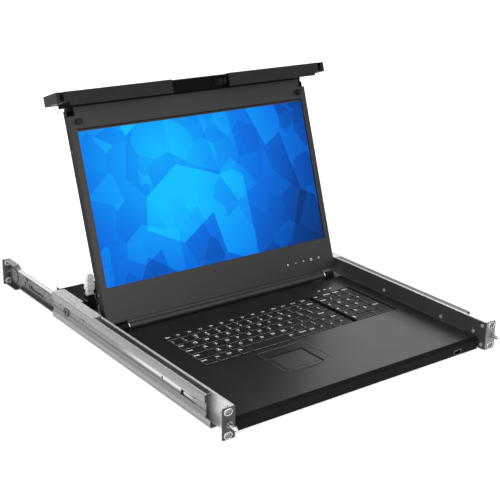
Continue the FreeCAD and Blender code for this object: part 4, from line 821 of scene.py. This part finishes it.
def legend(mesh, text, left, high, top):
    """Print a key's name; a space divides the shifted and the plain character."""
    if text in ("left", "right", "up", "down"):
        arrowhead(mesh, text, left + 5.2 * MM, high - 5.6 * MM, top, 2.1 * MM)
        return
    if " " in text:  # each line of print: drop from the key's back edge, inset, height
        lines = zip(text.split(" "), ((2.0, 2.2, 5.0), (8.2, 2.2, 6.0)))
    else:
        lines = ((text, (2.2, 2.4, 7.2) if len(text) == 1 else (2.4, 2.2, 5.0)),)
    for line, (drop, inset, height) in lines:
        if line:
            lettering(mesh, line, left + inset * MM, high - drop * MM, top, height * MM)


def place_keys(node, caps, ink):
    """Finish a row's caps, which replace its CAD node, and their print."""
    cap_piece = piece_from(caps, node + "_caps", key_plastic, painted_rim_highlight, smooth=True)
    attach(cap_piece, node)
    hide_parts(node)
    ink_piece = piece_from(ink, node + "_legends", legend_ink)
    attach(ink_piece, node)


def key_row(number):
    """Caps and legends of one row, main block and number pad."""
    low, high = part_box("key_row_%d" % number)
    caps, ink = bmesh.new(), bmesh.new()
    block_start = low.x - KEY_GAP / 2
    for x, rows in ((block_start, KEY_ROWS), (block_start + PAD_START, PAD_ROWS)):
        legends, widths = rows[number - 1]
        for place, text in enumerate(legends.split("|")):
            width = widths.get(place, 1)
            left, end = x + KEY_GAP / 2, x + PITCH_X * width - KEY_GAP / 2
            keycap(caps, left, low.y, end, high.y, high.z)
            legend(ink, text, left, high.y, high.z + INK_RISE)
            x += PITCH_X * width
    place_keys("key_row_%d" % number, caps, ink)


for row_number in range(1, 7):
    key_row(row_number)

tall_low, tall_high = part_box("key_tall")
tall_caps, tall_ink = bmesh.new(), bmesh.new()
for first, last, text in ((1, 2, "Enter"), (3, 4, "+")):  # the rows that each tall key spans
    low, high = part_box("key_row_%d" % first)[0].y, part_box("key_row_%d" % last)[1].y
    keycap(tall_caps, tall_low.x, low, tall_high.x, high, tall_high.z)
    legend(tall_ink, text, tall_low.x, high, tall_high.z + INK_RISE)
place_keys("key_tall", tall_caps, tall_ink)

well_plastic = grained("well_plastic", 0.7, 300, (0.006,) * 3, (0.010,) * 3)
clothe(["key_plate"], well_plastic)

# ------
# Touchpad: a smooth pad set below the deck in a shallow frame, with two buttons that follow its
# bowed front edge.  Fine-textured plastic, a shade lighter than the keys, in a grey moulded trim.
touch_plastic = grained("touch_plastic", 0.45, 1800, (0.010,) * 3, (0.016,) * 3, bump=0.00002)
clothe(["touchpad"] + both("touch_button"), touch_plastic, 0.3 * MM)

DECK_TOP = -2.85
TRIM = (-82.0, 78.0, 0.0, 145.0)  # left, front, right and back of the shallow frame in the deck
TRIM_RADIUS = 4.0
TRIM_PROFILE = ((-0.5, 0.0), (-0.3, 0.12), (0.1, 0.12), (0.5, -0.45))  # inset, rise above the deck
trim_plastic = powder_coat("trim_plastic", (0.075, 0.075, 0.076), 0.32, 0.42)
trim = bmesh.new()
skin(trim, rounded_rings(trim, *TRIM, [(inset, DECK_TOP + rise, TRIM_RADIUS - inset)
                                       for inset, rise in TRIM_PROFILE], steps=6))

BOW_ENDS, BOW_FRONT, BOW_SAG = (-74.0, -16.0), 78.0, 6.0  # the pad's bowed front edge
BOW_PROFILE = ((0.2, 0.0), (0.4, 0.14), (1.0, 0.14), (1.3, 0.0))  # distance in front of it, rise
half_chord = (BOW_ENDS[1] - BOW_ENDS[0]) / 2
bow_radius = (half_chord ** 2 + BOW_SAG ** 2) / (2 * BOW_SAG)
centre = Vector((sum(BOW_ENDS) / 2, BOW_FRONT - BOW_SAG + bow_radius))
reach_angle = math.asin(half_chord / bow_radius)
bow_line = []
for k in range(25):
    angle = -math.pi / 2 + reach_angle * (k / 12 - 1)
    bow_line.append(points(trim, [
        (centre.x + (bow_radius + out) * math.cos(angle), centre.y + (bow_radius + out) * math.sin(angle),
         DECK_TOP + rise) for out, rise in BOW_PROFILE]))
# painted shadow: the bead along the bowed edge is near black, a shadow line at the pad's front
skin(trim, bow_line, closed=False, material=1)
touch_trim = piece_from(trim, "touchpad_trim", trim_plastic, black_and_painted_shade, smooth=True)
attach(touch_trim, "drawer")

# ------
# Lamps and port: three clear lenses above the number pad, and an upright socket in the lip.
# The lenses are moulded in milky plastic; the socket has a dark plated shell.
lens = grained("lamp_lens", 0.2, 400, (0.74, 0.75, 0.75), (0.88,) * 3)
clothe(["indicator_lights"], lens, 0.2 * MM)
clothe(["front_port"], dark_plate)

# ------
# Display lid: a sheet-metal back on the long hinge barrel, with its brackets and plated collars.
# Painted steel.  What belongs to the lid is drawn upright about the hinge axis, then leaned back.
HINGE_Y, HINGE_Z, BARREL_END = 321.3, 1.2, 184.2
LEAN = math.radians(18.386)
leaned = Matrix.Translation(Vector((0, HINGE_Y, HINGE_Z)) * MM) @ Matrix.Rotation(-LEAN, 4, "X")

lid_coat = powder_coat("lid_satin_black", (0.010,) * 3, 0.38, 0.48, specular=0.05)
clothe(["lid_back"], lid_coat, 0.2 * MM)
barrel_coat = powder_coat("barrel_satin_black", (0.026,) * 3, 0.34, 0.42, specular=0.4)
clothe(["hinge_barrel"], barrel_coat, 0.2 * MM)
bracket_coat = powder_coat("hinge_dull_black", (0.006,) * 3, 0.5, 0.6, specular=0.12)
clothe(both("hinge_bracket"), bracket_coat, 0.2 * MM)

COLLAR = ((3.0, 0.0), (5.4, 0.1), (5.8, 0.5), (5.8, 1.2), (5.4, 1.6), (3.0, 1.7))
collars = bmesh.new()
for side in (-1, 1):
    turned_form(collars, COLLAR, standing((side * BARREL_END, HINGE_Y, HINGE_Z), (side, 0, 0)), count=24)
hinge_collars = piece_from(collars, "hinge_collars", bright_plate, smooth=True)
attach(hinge_collars, "display")

# ------
# Bezel: the moulded frame round the screen, with a dark strip along its window's top edge as a painted shadow
# under the bezel's lip, and five buttons with printed marks.  Fine-grained black plastic, snapped to the lid's
# back.
bezel_plastic, tree, shader = finish("bezel_plastic", 0.42, specular=0.42)
bezel_grain = add_group(tree, sheet_grain, Scale=1500, Stretch=1)
bezel_cloud = add_group(tree, sheet_grain, Scale=14, Stretch=1)
bezel_colour = colour_ramp(tree, bezel_cloud, ((0.3, (0.011,) * 3), (0.7, (0.015,) * 3)))
surface(tree, shader, bezel_colour, (bezel_cloud, 0.36, 0.46), bezel_grain, 0.00002)
clothe(["bezel"] + ["display_button_%d" % k for k in range(1, 6)], bezel_plastic, 0.25 * MM)

LID_HALF = 215.5 * MM  # half the lid's width, whose outer sides are dull and darker
# painted shade: the lid's outer sides are darkened
paint_zone(bezel_plastic, "X", LID_HALF - 0.1 * MM, LID_HALF - 0.25 * MM, (0.003,) * 3, 0.8, mirrored=True)

WINDOW_TOP, WINDOW_HALF = 291.5, 205.4
# painted shadow: a near-black strip along the window's top edge, under the bezel's lip
SHADOW_STRIP = ((4.5, 0.05), (4.38, 0.15), (4.38, 2.0), (4.5, 2.1))  # (Y, height above the window's top edge)
shadow_strip_mesh = bmesh.new()
skin(shadow_strip_mesh, [points(shadow_strip_mesh, [(x, y, WINDOW_TOP + z) for y, z in SHADOW_STRIP]) for x in (-WINDOW_HALF, WINDOW_HALF)],
     closed=False)
window_shadow_strip = piece_from(shadow_strip_mesh, "window_shadow_strip", black_and_painted_shade, placed=leaned)
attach(window_shadow_strip, "display")

BUTTON_LEFT, BUTTON_STEP, BUTTON_RISE, BUTTON_FACE = 120.7, 16.1, 30.5, 4.18
MARKS = {  # an open ring: its two radii and half the angle left open at the top; bars: two corners
    "ring": ((0.9, 1.7, 0.0), ()),
    "minus": (None, ((-1.5, -0.4, 1.5, 0.4),)),
    "plus": (None, ((-1.5, -0.4, 1.5, 0.4), (-0.4, 0.4, 0.4, 1.5), (-0.4, -1.5, 0.4, -0.4))),
    "power": ((1.5, 2.3, 0.5), ((-0.4, 0.4, 0.4, 2.3),)),
}


def mark_points(mesh, middle, spots):
    """Points of a mark, from the middle of its button's face."""
    return points(mesh, [(middle + x, BUTTON_FACE, BUTTON_RISE + z) for x, z in spots])


for number, mark in enumerate(("ring", "minus", "plus", "power", "ring"), start=1):
    middle = BUTTON_LEFT + BUTTON_STEP * (number - 1)
    ring, bars = MARKS[mark]
    symbol = bmesh.new()
    if ring:
        inner, outer, opening = ring
        turns = [math.pi / 2 + opening + 2 * (math.pi - opening) * k / 24 for k in range(25)]
        skin(symbol, [mark_points(symbol, middle, [(r * math.cos(a), r * math.sin(a)) for r in (inner, outer)])
                      for a in turns], closed=False)
    for left, low, end, high in bars:
        symbol.faces.new(mark_points(symbol, middle, ((left, low), (end, low), (end, high), (left, high))))
    button_mark = piece_from(symbol, "display_button_mark_%d" % number, legend_ink, placed=leaned)
    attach(button_mark, "display_button_%d" % number)

# ------
# Bumpers and lid screws: soft rubber pads that the closed lid rests on, and the low dark screws
# that hold the lid's back, its sides and the barrel.
rubber = grained("bumper_rubber", 0.75, 700, (0.010,) * 3, (0.016,) * 3, specular=0.3)
clothe(["bumpers"], rubber, 0.3 * MM)

LID_BACK_FACE, SIDE_LINE, SIDE_HEAD = 20.0, 13.5, 2.2
BACK_SCREWS = [(side * 206, height) for side in (-1, 1) for height in (28, 112, 206, 300)] + [(-70, 16), (70, 16)]
lid_heads = [(standing((x, LID_BACK_FACE, height), (0, 1, 0)), SMALL_HEAD) for x, height in BACK_SCREWS]
lid_heads += [(standing((side * LID_HALF / MM, SIDE_LINE, height), (side, 0, 0)), SIDE_HEAD)
              for side in (-1, 1) for height in (52, 262)]
lid_screws = screw_set("lid_screws", [(leaned @ place, radius) for place, radius in lid_heads])
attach(lid_screws, "display")

# ------
# Screen: the lit panel behind the bezel's window, in a dark sheet-metal frame.  It shows facets
# of deep to pale blue, dark at the lower right and light at the left, and gives off a dim light.
SCREEN_WIDTH, SCREEN_HEIGHT, SCREEN_LOW, SCREEN_FACE = 409.0, 228.8, 60.5, 6.1
ASPECT = 1.78
BRIGHT_SPOT = (0.55, 0.78, 0)  # in the picture's own coordinates
TONE_AT_SPOT, TONE_FALL = 0.80, -0.56
glow, tree, shader = finish("screen_glow", 0.6, specular=0.02)
spot = wired(tree, "UVMap").outputs["UV"]
reach = wired(tree, "VectorMath", {0: spot, 1: BRIGHT_SPOT}, operation="DISTANCE")
tone = work_out(tree, "MULTIPLY_ADD", reach.outputs["Value"], TONE_FALL, TONE_AT_SPOT)
for facet_scale, share in ((2.6, 0.34), (5.2, 0.16)):  # large facets, cut again by small ones
    facets = wired(tree, "TexVoronoi", {"Scale": facet_scale, "Randomness": 0.9, "Vector": spot})
    split = wired(tree, "SeparateColor", {"Color": facets.outputs["Color"]})
    tone = work_out(tree, "MULTIPLY_ADD", split.outputs["Red"], share, tone)
sky_blue = colour_ramp(tree, tone, (
    (0.10, (0.002, 0.030, 0.16)), (0.38, (0.002, 0.075, 0.42)), (0.62, (0.003, 0.17, 0.80)),
    (0.82, (0.004, 0.34, 0.96)), (1.0, (0.006, 0.52, 1.0))))
feed(tree, shader, {"Base Color": (0.002, 0.003, 0.006, 1), "Emission Strength": 1.0, "Emission Color": sky_blue})
dim_panel = wired(tree, "BsdfPrincipled", {  # the light it throws on what stands beside it
    "Base Color": (0.004, 0.006, 0.012, 1), "Roughness": 0.6, "Emission Strength": 0.015,
    "Emission Color": sky_blue})
toward = wired(tree, "LightPath")
aimed = wired(tree, "MixShader", {"Fac": toward.outputs["Is Camera Ray"], 1: dim_panel.outputs["BSDF"],
                                  2: shader.outputs["BSDF"]})
feed(tree, tree.nodes["Material Output"], {"Surface": aimed.outputs["Shader"]})

picture = bmesh.new()
half, low, high = SCREEN_WIDTH / 2, SCREEN_LOW, SCREEN_LOW + SCREEN_HEIGHT
face = picture.faces.new(points(picture, [(x, SCREEN_FACE, z) for x, z in (
    (-half, low), (half, low), (half, high), (-half, high))]))
uv = picture.loops.layers.uv.new("UVMap")
for loop, place in zip(face.loops, ((0, 0), (ASPECT, 0), (ASPECT, 1), (0, 1))):
    loop[uv].uv = place
screen_picture = piece_from(picture, "screen_picture", glow, placed=leaned)
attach(screen_picture, "display")
panel_frame = grained("panel_frame", 0.35, 600, (0.004, 0.004, 0.005), (0.007, 0.007, 0.008))
clothe(["lcd_panel"], panel_frame)

# ------
# Front bar: a hollow moulding with end caps, a lined finger notch and the catch's thumb lever.
# Fine-textured black plastic; the bar is screwed to the lid's top edge and closes over the flanges.
bar_plastic = powder_coat("bar_plastic", (0.026,) * 3, 0.40, 0.50, specular=0.08)
clothe(["front_bar", "latch_lever"] + both("bar_end"), bar_plastic, 0.3 * MM)
# painted shade: the finger notch's liner is near black, far darker than the bar
notch_shade_black = powder_coat("notch_liner_shade", (0.003,) * 3, 0.6, 0.7, specular=0.05)
clothe(["grip_liner"], notch_shade_black)
